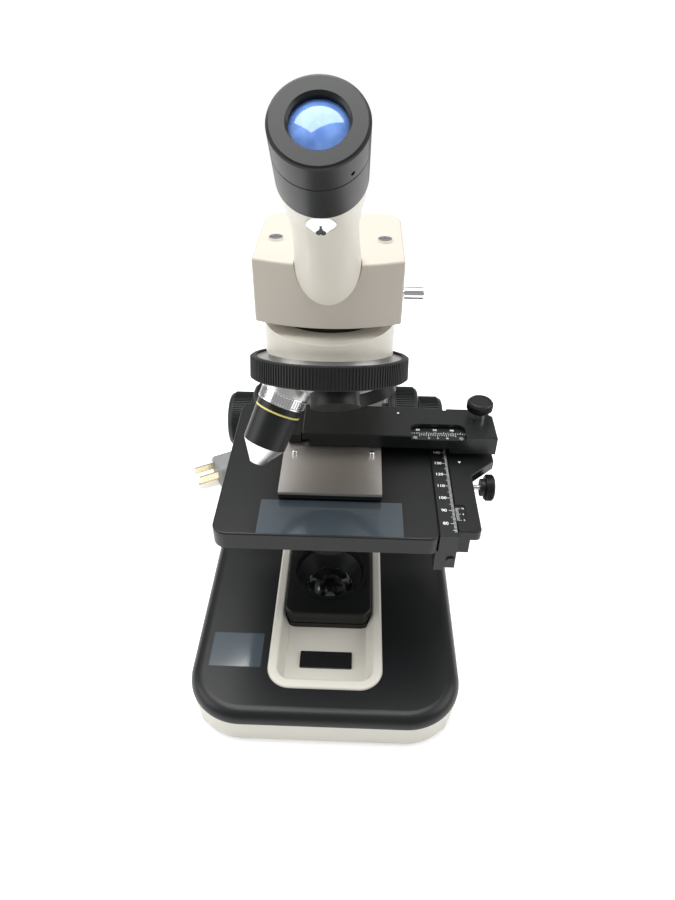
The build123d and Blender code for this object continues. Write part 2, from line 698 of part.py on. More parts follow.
# Vernier strip in the window and its two screws
with BuildPart() as x_vernier:
    with BuildSketch(Plane.XY.offset(138.2)):
        with Locations((62.4, (COVER_Y0 + 13.0) / 2)):
            Rectangle(31.4, 13.0 - COVER_Y0)
        with Locations((48.9, 8.9), (75.6, 8.9)):
            Circle(0.8, mode=Mode.SUBTRACT)
    extrude(amount=1.1)

with BuildPart() as vernier_screws:
    with BuildSketch(Plane.XY.offset(139.3)):
        with Locations((48.9, 8.9), (75.6, 8.9)):
            Circle(1.35)
    extrude(amount=0.5)
    with BuildSketch(Plane.XY.offset(138.2)):
        with Locations((48.9, 8.9), (75.6, 8.9)):
            Circle(0.8)
    extrude(amount=1.2)

# X slider: rack bar, end block, and the carrier under the specimen plate
with BuildPart() as x_slider:
    with BuildSketch(Plane.XY.offset(133.0)):
        with Locations(((-24.8 + 93) / 2, (13.3 + RACK_Y) / 2)):
            Rectangle(93 + 24.8, RACK_Y - 13.3)
    extrude(amount=SLIDER_TOP - 133.0)
    with BuildSketch(Plane.XY.offset(133.0)):
        with Locations((-21.2, (9.5 + RACK_Y) / 2)):
            Rectangle(7.2, RACK_Y - 9.5)
    extrude(amount=SLIDER_TOP - 133.0)
    with BuildSketch(Plane.XY.offset(136.9)):
        with Locations(((-24.8 + 93) / 2, RACK_Y + 0.5)):
            Rectangle(93 + 24.8, 1.2)
    extrude(amount=1.6)
    with BuildSketch(Plane.XY.offset(CARRIER_BOT)):
        with Locations((1.1, (-33.4 + 24.6) / 2)):
            Rectangle(56.0, 58.0)
    extrude(amount=PLATE_TOP - PLATE_T - CARRIER_BOT)
    with BuildSketch(Plane.XY.offset(PLATE_TOP - PLATE_T)):
        with Locations((1.1, (12.1 + 24.6) / 2)):
            Rectangle(50.0, 24.6 - 12.1)
    extrude(amount=133.0 - PLATE_TOP + PLATE_T)

# X pinion shaft with the bright neck, and its knob
with BuildPart() as x_shaft:
    with BuildSketch(Plane.XY.offset(130.7)):
        with Locations((X_SHAFT_X, X_SHAFT_Y)):
            Circle(SMALL_PINION)
    extrude(amount=5.6)
    with BuildSketch(Plane.XY.offset(127.6)):
        with Locations((X_SHAFT_X, X_SHAFT_Y)):
            Circle(1.9)
    extrude(amount=147 - 127.6)
    with BuildSketch(Plane.XY.offset(COVER_TOP + GAP)):
        with Locations((X_SHAFT_X, X_SHAFT_Y)):
            Circle(4.4)
    extrude(amount=147.0 - COVER_TOP - GAP)

with BuildPart() as x_knob:
    with BuildSketch(Plane.XY.offset(147.0)):
        with Locations((X_SHAFT_X, X_SHAFT_Y)):
            Circle(7.7)
    extrude(amount=6.5)
    fillet(x_knob.edges(), 1.0)
    with BuildSketch(Plane.XY.offset(153.5)):
        with Locations((X_SHAFT_X, X_SHAFT_Y)):
            Circle(5.9)
    extrude(amount=-0.7, mode=Mode.SUBTRACT)

# Specimen plate and its two pins
with BuildPart() as specimen_plate:
    with BuildSketch(Plane.XY.offset(PLATE_TOP - PLATE_T)):
        with Locations((1.1, (-34 + 12) / 2)):
            RectangleRounded(56.4, 46.0, 0.8)
    extrude(amount=PLATE_T)

with BuildPart() as specimen_pins:
    with BuildSketch(Plane.XY.offset(PLATE_TOP)):
        with Locations((-20.6, -0.4), (24.0, 0.0)):
            Circle(1.5)
    extrude(amount=2.6)
    fillet(specimen_pins.edges().filter_by(lambda e: e.center().Z > PLATE_TOP + 2), 0.6)

# Nosepiece mount: disc under the arm, stud through the nosepiece, retaining cap
CONE_END = CONE_DEPTH + (GRIP_IN - 9.0) * tan(radians(NOSE_TILT))
with BuildPart() as nosepiece_mount:
    with BuildSketch(nose_tilt_plane(0.94)):
        Circle(MOUNT_R)
    extrude(amount=1.94)
    with BuildSketch(nose_tilt_plane(-1.0)):
        Circle(5.9)
    extrude(amount=8)
    with BuildSketch(nose_tilt_plane(0.5)):
        Circle(5.6)
    extrude(amount=-(CONE_END + 1.0))
    with BuildSketch(nose_tilt_plane(CONE_END + RUN)):
        Circle(8.0)
    extrude(amount=-1.6)
    with BuildSketch(Plane.XY.offset(180)):
        Circle(7.4)
    extrude(amount=60, mode=Mode.SUBTRACT)

# Nosepiece disc with four inclined ports
with BuildPart() as nosepiece_disc:
    with BuildSketch(Plane.XZ):
        with BuildLine():
            Polyline(
                (5.6 + RUN, -1.0), (GRIP_IN, -1.0), (GRIP_IN, -CONE_DEPTH), (9.0, -CONE_END),
                (5.6 + RUN, -CONE_END), close=True,
            )
        make_face()
    revolve(axis=Axis.Z)
nosepiece_body = nose_tilt_plane(0) * nosepiece_disc.part
with BuildPart() as nosepiece_disc:
    add(nosepiece_body)
    for quarter in range(4):
        turn = OBJECTIVE_TURN - 90 * quarter
        shoulder = -PLUG_BACK if quarter else 0.0
        with BuildSketch(port_plane(turn, shoulder)):
            Circle(12.2)
        extrude(amount=-(PLUG_BACK + 2.6 + shoulder))
        with BuildSketch(port_plane(turn, shoulder)):
            Circle(10.1)
        extrude(amount=-5.0, mode=Mode.SUBTRACT)
        with BuildSketch(port_plane(turn, shoulder)):
            Circle(7.2)
        extrude(amount=-24.0, mode=Mode.SUBTRACT)

# Ribbed grip ring round the nosepiece
with BuildPart() as grip_ring:
    with BuildSketch(nose_tilt_plane(0)):
        Circle(GRIP_R)
        Circle(GRIP_IN, mode=Mode.SUBTRACT)
    extrude(amount=-GRIP_H)
    chamfer(grip_ring.edges().filter_by(GeomType.CIRCLE).filter_by(lambda e: e.radius > GRIP_IN + 1), 0.7)

# Plugs in the three free ports
with BuildPart() as port_plugs:
    for quarter in range(1, 4):
        turn = OBJECTIVE_TURN - 90 * quarter
        with BuildSketch(port_plane(turn, -PLUG_BACK)):
            Circle(11.8)
        extrude(amount=PLUG_BACK + 3.6)
        with BuildSketch(port_plane(turn, -PLUG_BACK)):
            Circle(10.1)
        extrude(amount=-5.0)

# Objective: thread and ribbed collar, barrel, nose
with BuildPart() as objective_collar:
    with BuildSketch(port_plane(OBJECTIVE_TURN)):
        Circle(10.1)
        Circle(7.2, mode=Mode.SUBTRACT)
    extrude(amount=-5.0)
    with BuildSketch(port_plane(OBJECTIVE_TURN)):
        Circle(12.0)
        Circle(7.2, mode=Mode.SUBTRACT)
    extrude(amount=6.4)

with BuildPart() as objective_barrel:
    with BuildSketch(port_plane(OBJECTIVE_TURN, 6.4)):
        Circle(11.5)
    with BuildSketch(port_plane(OBJECTIVE_TURN, 28.4)):
        Circle(11.0)
    loft()
    with BuildSketch(port_plane(OBJECTIVE_TURN, 6.4)):
        Circle(7.2)
    extrude(amount=22, mode=Mode.SUBTRACT)

with BuildPart() as objective_nose:
    with BuildSketch(port_plane(OBJECTIVE_TURN, 28.4)):
        Circle(11.0)
    with BuildSketch(port_plane(OBJECTIVE_TURN, 39.4)):
        Circle(3.6)
    loft()
    with BuildSketch(port_plane(OBJECTIVE_TURN, 28.4)):
        Circle(2.0)
    extrude(amount=12, mode=Mode.SUBTRACT)

# Dark collar between arm and head
with BuildPart() as head_collar:
    with BuildSketch(Plane.XY.offset(HEAD_TOP)):
        Circle(HEAD_COLLAR_R)
        Circle(20.0 + RUN, mode=Mode.SUBTRACT)
    extrude(amount=BOX_Z0 - HEAD_TOP - RUN)

# Prism housing with a curved front
with BuildPart() as prism_housing:
    with BuildSketch(Plane.XY.offset(BOX_Z0)):
        with BuildLine():
            ThreePointArc((-BOX_HALF, BOX_FRONT + BOX_SAG), (0, BOX_FRONT), (BOX_HALF, BOX_FRONT + BOX_SAG))
            Line((BOX_HALF, BOX_FRONT + BOX_SAG), (BOX_HALF, BOX_REAR))
            Line((BOX_HALF, BOX_REAR), (-BOX_HALF, BOX_REAR))
            Line((-BOX_HALF, BOX_REAR), (-BOX_HALF, BOX_FRONT + BOX_SAG))
        make_face()
        fillet(vertices().filter_by(lambda v: v.Y > 0), 9.0)
        fillet(vertices().filter_by(lambda v: v.Y < 0), 1.6)
    extrude(amount=BOX_Z1 - BOX_Z0)
    fillet(prism_housing.faces().sort_by(Axis.Z)[-1].edges(), 1.2)
    with BuildSketch(Plane.XY.offset(BOX_Z0)):
        Circle(20.0)
    extrude(amount=-(BOX_Z0 - HEAD_TOP - GAP))
    with BuildSketch(Plane.XY.offset(236)):
        Rectangle(28, 24)
    extrude(amount=20, mode=Mode.SUBTRACT)
    with BuildSketch(Plane.XY.offset(HEAD_TOP)):
        Circle(9.0)
    extrude(amount=20, mode=Mode.SUBTRACT)
    with BuildSketch(tube_plane(32)):
        Circle(14.5)
    extrude(amount=60, mode=Mode.SUBTRACT)
    with BuildSketch(tube_plane(18)):
        Circle(8.0)
    extrude(amount=20, mode=Mode.SUBTRACT)
    with BuildSketch(Plane.XY.offset(BOX_Z1)):
        with Locations((-24.6, -6.8), (24.6, -6.8)):
            Circle(1.5)
    extrude(amount=-12, mode=Mode.SUBTRACT)
    with BuildSketch(side_plane(BOX_HALF, -15, 240.5)):
        Circle(1.5 + RUN)
    extrude(amount=-9, mode=Mode.SUBTRACT)

# Prism inside the housing
with BuildPart() as prism:
    with BuildSketch(Plane.YZ.offset(-13)):
        with BuildLine():
            Polyline((-8, 236), (12, 236), (12, 254), close=True)
        make_face()
    extrude(amount=26)

# Two screws in the housing's top
with BuildPart() as housing_screws:
    with BuildSketch(Plane.XY.offset(BOX_Z1)):
        with Locations((-24.6, -6.8), (24.6, -6.8)):
            Circle(3.2)
    extrude(amount=1.1)
    with BuildSketch(Plane.XY.offset(BOX_Z1 + 1.1)):
        with Locations((-24.6, -6.8), (24.6, -6.8)):
            Rectangle(4.4, 0.8)
            Rectangle(0.8, 4.4)
    extrude(amount=-0.6, mode=Mode.SUBTRACT)
    with BuildSketch(Plane.XY.offset(BOX_Z1)):
        with Locations((-24.6, -6.8), (24.6, -6.8)):
            Circle(1.5)
    extrude(amount=-12)

# Bright pin on the housing's right side
with BuildPart() as head_pin:
    with BuildSketch(side_plane(BOX_HALF - 8.9, -15, 240.5)):
        Circle(1.5)
    extrude(amount=10.1)
    with BuildSketch(side_plane(BOX_HALF + 1.2, -15, 240.5)):
        Circle(2.7)
    extrude(amount=9.2)
    chamfer(head_pin.edges().filter_by(lambda e: e.center().X > BOX_HALF + 10), 0.4)

# Plane of the clamp screw, facing out of the tube's upper side
CLAMP_PLANE = Plane(origin=tube_plane(CLAMP_S).origin, x_dir=(1, 0, 0),
                    z_dir=(0, -sin(radians(TUBE_ANGLE)), -cos(radians(TUBE_ANGLE))))

# Eyepiece tube, waisted, with a wider mouth
with BuildPart() as eyepiece_tube:
    with BuildSketch(Plane.XZ):
        with BuildLine():
            Line((SLEEVE_EYE_R + RUN, 32), (14.5, 32))
            Line((14.5, 32), (14.5, 46))
            Spline((14.5, 46), (13.6, 66), (12.75, 86), (13.3, 98), (14.6, 110), (14.9, 118.5))
            Line((14.9, 118.5), (SLEEVE_EYE_R + RUN, 118.5))
            Line((SLEEVE_EYE_R + RUN, 118.5), (SLEEVE_EYE_R + RUN, 32))
        make_face()
    revolve(axis=Axis.Z)
eyepiece_tube_body = tube_plane(0) * eyepiece_tube.part
with BuildPart() as eyepiece_tube:
    add(eyepiece_tube_body)
    with BuildSketch(CLAMP_PLANE):
        Circle(1.5 + RUN)
    extrude(amount=20, mode=Mode.SUBTRACT)
    with BuildSketch(CLAMP_PLANE.offset(CLAMP_SEAT)):
        Circle(CLAMP_R + 0.15)
    extrude(amount=8, mode=Mode.SUBTRACT)

# Clamp screw of the eyepiece, with a conical head and a slot
with BuildPart() as eyepiece_clamp:
    with BuildSketch(Plane.XZ):
        with BuildLine():
            Polyline(
                (0, SLEEVE_EYE_R + 0.4), (1.5, SLEEVE_EYE_R + 0.4), (1.5, CLAMP_SEAT + RUN), (CLAMP_R, CLAMP_SEAT + RUN),
                (CLAMP_R, CLAMP_SEAT + 0.5), (2.1, CLAMP_SEAT + 2.9), (1.8, CLAMP_SEAT + 3.2), (0, CLAMP_SEAT + 3.2),
                close=True,
            )
        make_face()
    revolve(axis=Axis.Z)
    with BuildSketch(Plane.XY.offset(CLAMP_SEAT + 3.2)):
        Rectangle(0.8, 6.0)
    extrude(amount=-0.9, mode=Mode.SUBTRACT)
eyepiece_clamp_turned = CLAMP_PLANE * eyepiece_clamp.part
with BuildPart() as eyepiece_clamp:
    add(eyepiece_clamp_turned)

# Eyepiece body with its sleeve
with BuildPart() as eyepiece_body:
    with BuildSketch(Plane.XZ):
        with BuildLine():
            Polyline(
                (9.5, 92), (SLEEVE_EYE_R, 92), (SLEEVE_EYE_R, EYE_S0), (EYE_R - 0.5, EYE_S0), (EYE_R, EYE_S0 + 0.5),
                (EYE_R, EYE_SEAM - 0.3), (EYE_R - 0.3, EYE_SEAM), (9.5, EYE_SEAM), close=True,
            )
        make_face()
    revolve(axis=Axis.Z)
eyepiece_body_turned = tube_plane(0) * eyepiece_body.part
with BuildPart() as eyepiece_body:
    add(eyepiece_body_turned)

# Reticle in the sleeve
with BuildPart() as reticle:
    with BuildSketch(tube_plane(104)):
        Circle(9.5)
    extrude(amount=1.2)

# Eyecup ring with its funnel, and the eye lens in it
with BuildPart() as eyecup:
    with BuildSketch(Plane.XZ):
        with BuildLine():
            Polyline(
                (8.0, 128), (9.5 - RUN, 128), (9.5 - RUN, EYE_SEAM + RUN), (EYE_R - 0.2, EYE_SEAM + RUN),
                (EYE_R, EYE_SEAM + 0.3),
                (EYE_R, EYE_S1 - 1.0), (EYE_R - 0.3, EYE_S1 - 0.3), (EYE_R - 1.0, EYE_S1), (EYE_LENS_R + 0.9, EYE_S1),
                (EYE_LENS_R, EYE_S1 - 0.9), (EYE_LENS_R, EYE_LENS_S), (8.0, EYE_LENS_S), close=True,
            )
        make_face()
    revolve(axis=Axis.Z)
eyecup_turned = tube_plane(0) * eyecup.part
with BuildPart() as eyecup:
    add(eyecup_turned)
    with BuildSketch(Plane(origin=tube_plane(138.2).origin, x_dir=(0, -cos(radians(TUBE_ANGLE)),
                                                                   sin(radians(TUBE_ANGLE))),
                           z_dir=(sin(radians(42)), -cos(radians(42)) * sin(radians(TUBE_ANGLE)),
                                  -cos(radians(42)) * cos(radians(TUBE_ANGLE)))).offset(12)):
        Circle(0.8)
    extrude(amount=6, mode=Mode.SUBTRACT)

with BuildPart() as eye_lens:
    with BuildSketch(Plane.XZ):
        with BuildLine():
            Line((0, EYE_LENS_S), (EYE_LENS_R, EYE_LENS_S))
            Line((EYE_LENS_R, EYE_LENS_S), (EYE_LENS_R, EYE_LENS_S + 2.2))
            TangentArc((0, EYE_LENS_S + 4.2), (EYE_LENS_R, EYE_LENS_S + 2.2), tangent=(1, 0))
            Line((0, EYE_LENS_S + 4.2), (0, EYE_LENS_S))
        make_face()
    revolve(axis=Axis.Z)
eye_lens_turned = tube_plane(0) * eye_lens.part
with BuildPart() as eye_lens:
    add(eye_lens_turned)

# Strain relief of the mains cord
with BuildPart() as cord_gland:
    with BuildSketch(Plane.XZ.offset(-BASE_REAR)):
        with Locations((COIL_X + COIL_R, CORD_Z)):
            Circle(6.0)
    with BuildSketch(Plane.XZ.offset(-GLAND_END)):
        with Locations((COIL_X + COIL_R, CORD_Z)):
            Circle(4.3)
    loft()
    with BuildSketch(Plane.XZ.offset(-BASE_REAR)):
        with Locations((COIL_X + COIL_R, CORD_Z)):
            Circle(5.0)
    extrude(amount=5.6)

# Cord from the gland to the coil, a straight run on the table
COIL_END = COIL_Y - 36.0
with BuildPart() as cord_lead:
    with BuildSketch(Plane.XZ.offset(-GLAND_END)):
        with Locations((COIL_X + COIL_R, CORD_Z)):
            Circle(CORD_R)
    extrude(amount=-(COIL_END - GLAND_END))

# Coil of put-away cord, drawn as one bundle with its two ends
with BuildPart() as cord_coil:
    with BuildSketch(Plane.XZ.offset(-COIL_Y)):
        with Locations((COIL_X + COIL_R, CORD_Z)):
            Circle(CORD_Z)
    revolve(axis=Axis((COIL_X, COIL_Y, CORD_Z), (0, 0, 1)))
    with BuildSketch(Plane.XZ.offset(-COIL_END)):
        with Locations((COIL_X + COIL_R, CORD_Z), (COIL_X - COIL_R, CORD_Z)):
            Circle(CORD_R)
    extrude(amount=-36)

# Cord from the coil to the plug
PLUG_ANGLE = 30.0
PLUG_REAR = (-69.0, 142.0)
TAIL_REACH = (COIL_X - COIL_R - PLUG_REAR[0]) / cos(radians(PLUG_ANGLE))
TAIL_CORNER = (COIL_X - COIL_R, PLUG_REAR[1] + TAIL_REACH * sin(radians(PLUG_ANGLE)))
TAIL_TURN = 90.0 - PLUG_ANGLE
TAIL_RADIUS = 0.9 * min(TAIL_REACH, COIL_END - TAIL_CORNER[1]) / tan(radians(TAIL_TURN / 2))
print("cord_tail radius", round(TAIL_RADIUS, 1))
with BuildPart() as cord_tail:
    with BuildLine():
        FilletPolyline(
            (COIL_X - COIL_R, COIL_END, CORD_Z), (*TAIL_CORNER, CORD_Z), (*PLUG_REAR, CORD_Z),
            radius=TAIL_RADIUS,
        )
    with BuildSketch(Plane.XZ.offset(-COIL_END)):
        with Locations((COIL_X - COIL_R, CORD_Z)):
            Circle(CORD_R)
    sweep()

# Mains plug lying on the table, and its blades
PLUG_DIR = Vector(-cos(radians(PLUG_ANGLE)), -sin(radians(PLUG_ANGLE)), 0)
PLUG_PLANE = Plane(origin=(*PLUG_REAR, CORD_Z), x_dir=(0, 0, 1), z_dir=PLUG_DIR)
with BuildPart() as power_plug:
    with BuildSketch(PLUG_PLANE):
        Circle(5.0)
    with BuildSketch(PLUG_PLANE.offset(14)):
        Circle(7.5)
    loft()
    with BuildSketch(PLUG_PLANE.offset(14)):
        RectangleRounded(21.6, 25, 6)
    extrude(amount=22)
    chamfer(power_plug.faces().sort_by(Axis((0, 0, 0), tuple(PLUG_DIR)))[-1].edges(), 1.2)

with BuildPart() as plug_blades:
    with BuildSketch(PLUG_PLANE.offset(36)):
        with Locations((3.0, 6.35), (3.0, -6.35)):
            Rectangle(6.3, 1.5)
        with Locations((-6.0, 0)):
            Circle(2.4)
    extrude(amount=17)

PARTS = {
    "base_skirt": base_skirt, "base_cover": base_cover, "bottom_plate": bottom_plate, "rubber_feet": rubber_feet,
    "illuminator_bezel": illuminator_bezel, "badge_plate": badge_plate, "filter_collar": filter_collar,
    "field_lens": field_lens, "lamp_socket": lamp_socket, "lamp_bulb": lamp_bulb, "transformer": transformer,
    "brightness_dial": brightness_dial, "power_switch": power_switch, "arm_casting": arm_casting,
    "coarse_slide": coarse_slide, "coarse_knobs": coarse_knobs, "fine_knobs": fine_knobs,
    "stage_bracket": stage_bracket, "stage_plate": stage_plate, "condenser_holder": condenser_holder,
    "condenser_body": condenser_body, "iris_lever": iris_lever, "y_rail": y_rail, "y_carriage": y_carriage,
    "y_shaft": y_shaft, "y_knob": y_knob, "x_guide": x_guide, "x_cover": x_cover, "x_vernier": x_vernier,
    "vernier_screws": vernier_screws, "x_slider": x_slider, "x_shaft": x_shaft, "x_knob": x_knob,
    "specimen_plate": specimen_plate, "specimen_pins": specimen_pins, "nosepiece_mount": nosepiece_mount,
    "nosepiece_disc": nosepiece_disc, "grip_ring": grip_ring, "port_plugs": port_plugs,
    "objective_collar": objective_collar, "objective_barrel": objective_barrel, "objective_nose": objective_nose,
    "head_collar": head_collar, "prism_housing": prism_housing, "prism": prism, "housing_screws": housing_screws,
    "head_pin": head_pin, "eyepiece_tube": eyepiece_tube, "eyepiece_clamp": eyepiece_clamp,
    "eyepiece_body": eyepiece_body, "reticle": reticle, "eyecup": eyecup, "eye_lens": eye_lens,
    "cord_gland": cord_gland, "cord_lead": cord_lead, "cord_coil": cord_coil, "cord_tail": cord_tail,
    "power_plug": power_plug, "plug_blades": plug_blades,
}
# The parts are written with the origin on the table, under the middle of the whole instrument
FRAME_X = (COVER_X1 - BASE_W / 2) / 2
FRAME_Y = (BASE_FRONT + GLAND_END) / 2
for name, built in PARTS.items():
    placed = Pos(-FRAME_X, -FRAME_Y, 0) * built.part
    placed.label = name
    export_step(placed, f"parts/{name}.step")
    print(name, round(placed.volume, 1), len(placed.solids()))
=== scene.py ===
"""Dresses the inspection microscope: controls, scales, films, glass, cord, finishes, camera and light."""

import json
import logging
import math
from dataclasses import dataclass, field
from enum import Enum
from typing import Sequence

import bmesh
import bpy
from mathutils import Matrix, Vector

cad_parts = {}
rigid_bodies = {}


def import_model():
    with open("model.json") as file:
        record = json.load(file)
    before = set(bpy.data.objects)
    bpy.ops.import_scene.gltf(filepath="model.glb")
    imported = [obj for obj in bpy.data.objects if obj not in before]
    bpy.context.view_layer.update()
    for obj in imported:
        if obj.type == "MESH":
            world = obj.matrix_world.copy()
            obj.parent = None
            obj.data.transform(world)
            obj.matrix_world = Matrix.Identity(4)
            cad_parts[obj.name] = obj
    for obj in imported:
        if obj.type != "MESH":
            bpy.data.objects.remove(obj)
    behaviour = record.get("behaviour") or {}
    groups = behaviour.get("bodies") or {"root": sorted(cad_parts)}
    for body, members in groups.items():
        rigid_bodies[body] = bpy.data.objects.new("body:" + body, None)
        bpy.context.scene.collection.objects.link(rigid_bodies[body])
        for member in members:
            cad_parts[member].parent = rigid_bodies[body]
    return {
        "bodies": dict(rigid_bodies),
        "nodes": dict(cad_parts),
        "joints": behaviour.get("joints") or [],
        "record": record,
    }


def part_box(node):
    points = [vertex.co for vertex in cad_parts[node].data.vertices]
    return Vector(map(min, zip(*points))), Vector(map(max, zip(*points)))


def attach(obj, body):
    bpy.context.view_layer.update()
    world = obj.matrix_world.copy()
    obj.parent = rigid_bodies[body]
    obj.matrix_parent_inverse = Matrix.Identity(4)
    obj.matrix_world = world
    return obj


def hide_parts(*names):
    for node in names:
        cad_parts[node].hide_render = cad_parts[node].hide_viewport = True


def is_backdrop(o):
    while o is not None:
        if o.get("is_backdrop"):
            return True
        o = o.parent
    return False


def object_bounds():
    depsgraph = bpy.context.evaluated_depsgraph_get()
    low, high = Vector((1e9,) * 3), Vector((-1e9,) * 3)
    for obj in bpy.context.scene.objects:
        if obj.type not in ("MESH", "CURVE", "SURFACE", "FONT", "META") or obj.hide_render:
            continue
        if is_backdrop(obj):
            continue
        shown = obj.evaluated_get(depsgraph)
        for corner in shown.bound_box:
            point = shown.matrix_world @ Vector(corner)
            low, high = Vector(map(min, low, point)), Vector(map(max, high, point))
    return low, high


MM = 0.001
# A length under this counts as none, in metres
WELD = 1e-7
# The colour sockets of a Mix node share their names with its other kinds, so they go by number
MIX_FIRST, MIX_SECOND, MIX_RESULT = 6, 7, 2
COAT_ROUGHNESS = 0.08
BUMP_DEPTH = 0.0001
DIGIT_RAISE = 0.03
DIGIT_WEIGHT = 0.02
DIGIT_STEPS = 3
CORNER_STEPS = 6
# Thin marks keep only their steepest edges sharp, in degrees
MARK_CREASE = 60.0
log = logging.getLogger("microscope")

Point = tuple[float, float, float]
Colour = tuple[float, float, float]


class Side(Enum):
    """The user's left and right of the stand."""

    LEFT = -1
    RIGHT = 1


class Grain(Enum):
    """How a surface's fine texture runs."""

    EVEN = (1.0, 1.0, 1.0)
    ALONG_X = (0.04, 1.0, 1.0)
    ALONG_Z = (1.0, 1.0, 0.04)


@dataclass
class Bench:
    """The table under the instrument, with its zero where the light axis meets it."""

    zero: Vector = field(default_factory=lambda: Vector((0.0, 0.0, 0.0)))

    def settle(self) -> None:
        """Reads the light axis from the field lens."""
        low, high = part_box("field_lens")
        self.zero = Vector(((low.x + high.x) / 2, (low.y + high.y) / 2, 0.0))

    def at(self, x: float, y: float, z: float) -> Vector:
        """Gives a point in metres in the row frame.

        Args:
            x: Millimetres to the right of the light axis.
            y: Millimetres behind the light axis.
            z: Millimetres above the table.

        Returns:
            The same point in the row frame.
        """
        return self.zero + Vector((x, y, z)) * MM

    def plane(self, origin: Point, x_dir: Point = (1, 0, 0), z_dir: Point = (0, 0, 1)) -> Matrix:
        """Gives the placement of a local plane.

        Args:
            origin: The plane's zero in bench millimetres.
            x_dir: The direction of its own X.
            z_dir: Its normal.

        Returns:
            A matrix from local metres to the row frame.
        """
        z = Vector(z_dir).normalized()
        x = (Vector(x_dir) - z * Vector(x_dir).dot(z)).normalized()
        y = z.cross(x)
        place = Matrix((x, y, z)).transposed().to_4x4()
        place.translation = self.at(*origin)
        return place


BENCH = Bench()


def finish_mesh(name: str, bm: bmesh.types.BMesh, crease: float = 32.0) -> bpy.types.Object:
    """Turns a bmesh into an object at the origin.

    Args:
        name: The piece's name.
        bm: Its shape in row-frame metres, used up here.
        crease: The angle in degrees above which an edge stays sharp.

    Returns:
        The linked object.
    """
    bmesh.ops.remove_doubles(bm, verts=bm.verts, dist=WELD)
    bmesh.ops.recalc_face_normals(bm, faces=bm.faces)
    mesh = bpy.data.meshes.new(name)
    bm.to_mesh(mesh)
    bm.free()
    mesh.polygons.foreach_set("use_smooth", [True] * len(mesh.polygons))
    mesh.set_sharp_from_angle(angle=math.radians(crease))
    piece = bpy.data.objects.new(name, mesh)
    bpy.context.scene.collection.objects.link(piece)
    return piece


def join_into(bm: bmesh.types.BMesh, extra: bmesh.types.BMesh) -> None:
    """Adds one bmesh to another and frees it."""
    keep = bpy.data.meshes.new("joint")
    extra.to_mesh(keep)
    extra.free()
    bm.from_mesh(keep)
    bpy.data.meshes.remove(keep)


def lathe(profile: Sequence[tuple[float, float]], place: Matrix, steps: int) -> bmesh.types.BMesh:
    """Spins a closed profile round the local Z axis.

    Args:
        profile: Points of radius and height in millimetres.
        place: Where the local frame stands.
        steps: How many facets go round.

    Returns:
        The spun shape.
    """
    bm = bmesh.new()
    verts = [bm.verts.new((radius * MM, 0, height * MM)) for radius, height in profile]
    edges = [bm.edges.new(pair) for pair in zip(verts, verts[1:] + verts[:1])]
    bmesh.ops.spin(bm, geom=verts + edges, cent=(0, 0, 0), axis=(0, 0, 1), dvec=(0, 0, 0),
                   angle=2 * math.pi, steps=steps, use_merge=True)
    bmesh.ops.remove_doubles(bm, verts=bm.verts, dist=WELD)
    bmesh.ops.transform(bm, matrix=place, verts=bm.verts)
    return bm


def rib_ring(place: Matrix, radius: float, low: float, high: float, count: int, width: float,
             depth: float) -> bmesh.types.BMesh:
    """Sets narrow ribs round a cylinder.

    Args:
        place: The cylinder's frame, Z along its axis.
        radius: The radius at the ribs' tops.
        low: Where the ribs start along the axis.
        high: Where they end.
        count: How many there are.
        width: A rib's width at its foot.
        depth: How far a rib stands out of the cylinder.

    Returns:
        All the ribs as one bmesh.
    """
    top_share, end_slope = 0.5, 0.8
    bm = bmesh.new()
    made = bmesh.ops.create_cube(bm, size=1.0)
    bmesh.ops.scale(bm, vec=(2 * depth * MM, width * MM, (high - low) * MM), verts=made["verts"])
    outer = [v for v in bm.verts if v.co.x > 0]
    bmesh.ops.scale(bm, vec=(1, top_share, 1), verts=outer)
    for v in outer:
        v.co.z *= 1 - end_slope * depth / (high - low)
    bmesh.ops.translate(bm, vec=((radius - depth) * MM, 0, (low + high) / 2 * MM), verts=bm.verts)
    bmesh.ops.spin(bm, geom=bm.verts[:] + bm.edges[:] + bm.faces[:], cent=(0, 0, 0), axis=(0, 0, 1),
                   dvec=(0, 0, 0), angle=2 * math.pi * (count - 1) / count, steps=count - 1,
                   use_duplicate=True)
    bmesh.ops.transform(bm, matrix=place, verts=bm.verts)
    return bm


def flat_line(size: Point, centre: Point) -> bmesh.types.BMesh:
    """Makes one line of a scale as a thin box.

    Args:
        size: Its lengths in millimetres.
        centre: Its middle in bench millimetres.

    Returns:
        The box.
    """
    bm = bmesh.new()
    made = bmesh.ops.create_cube(bm, size=1.0)
    bmesh.ops.scale(bm, vec=Vector(size) * MM, verts=made["verts"])
    bmesh.ops.translate(bm, vec=BENCH.at(*centre), verts=bm.verts)
    return bm


def rounded_sheet(width: float, depth: float, corner: float, thick: float,
                  centre: Point) -> bmesh.types.BMesh:
    """Makes a thin plate with round corners.

    Args:
        width: Its size along X in millimetres.
        depth: Its size along Y.
        corner: The radius of its corners.
        thick: Its thickness, upwards from the centre point.
        centre: The middle of its lower face in bench millimetres.

    Returns:
        The plate.
    """
    bm = bmesh.new()
    made = bmesh.ops.create_cube(bm, size=1.0)
    bmesh.ops.scale(bm, vec=(width * MM, depth * MM, thick * MM), verts=made["verts"])
    upright = [e for e in bm.edges if abs(e.verts[0].co.z - e.verts[1].co.z) > WELD]
    bmesh.ops.bevel(bm, geom=upright, offset=corner * MM, offset_type="OFFSET", segments=CORNER_STEPS,
                    profile=0.5, affect="EDGES", material=-1)
    bmesh.ops.translate(bm, vec=BENCH.at(centre[0], centre[1], centre[2] + thick / 2), verts=bm.verts)
    return bm


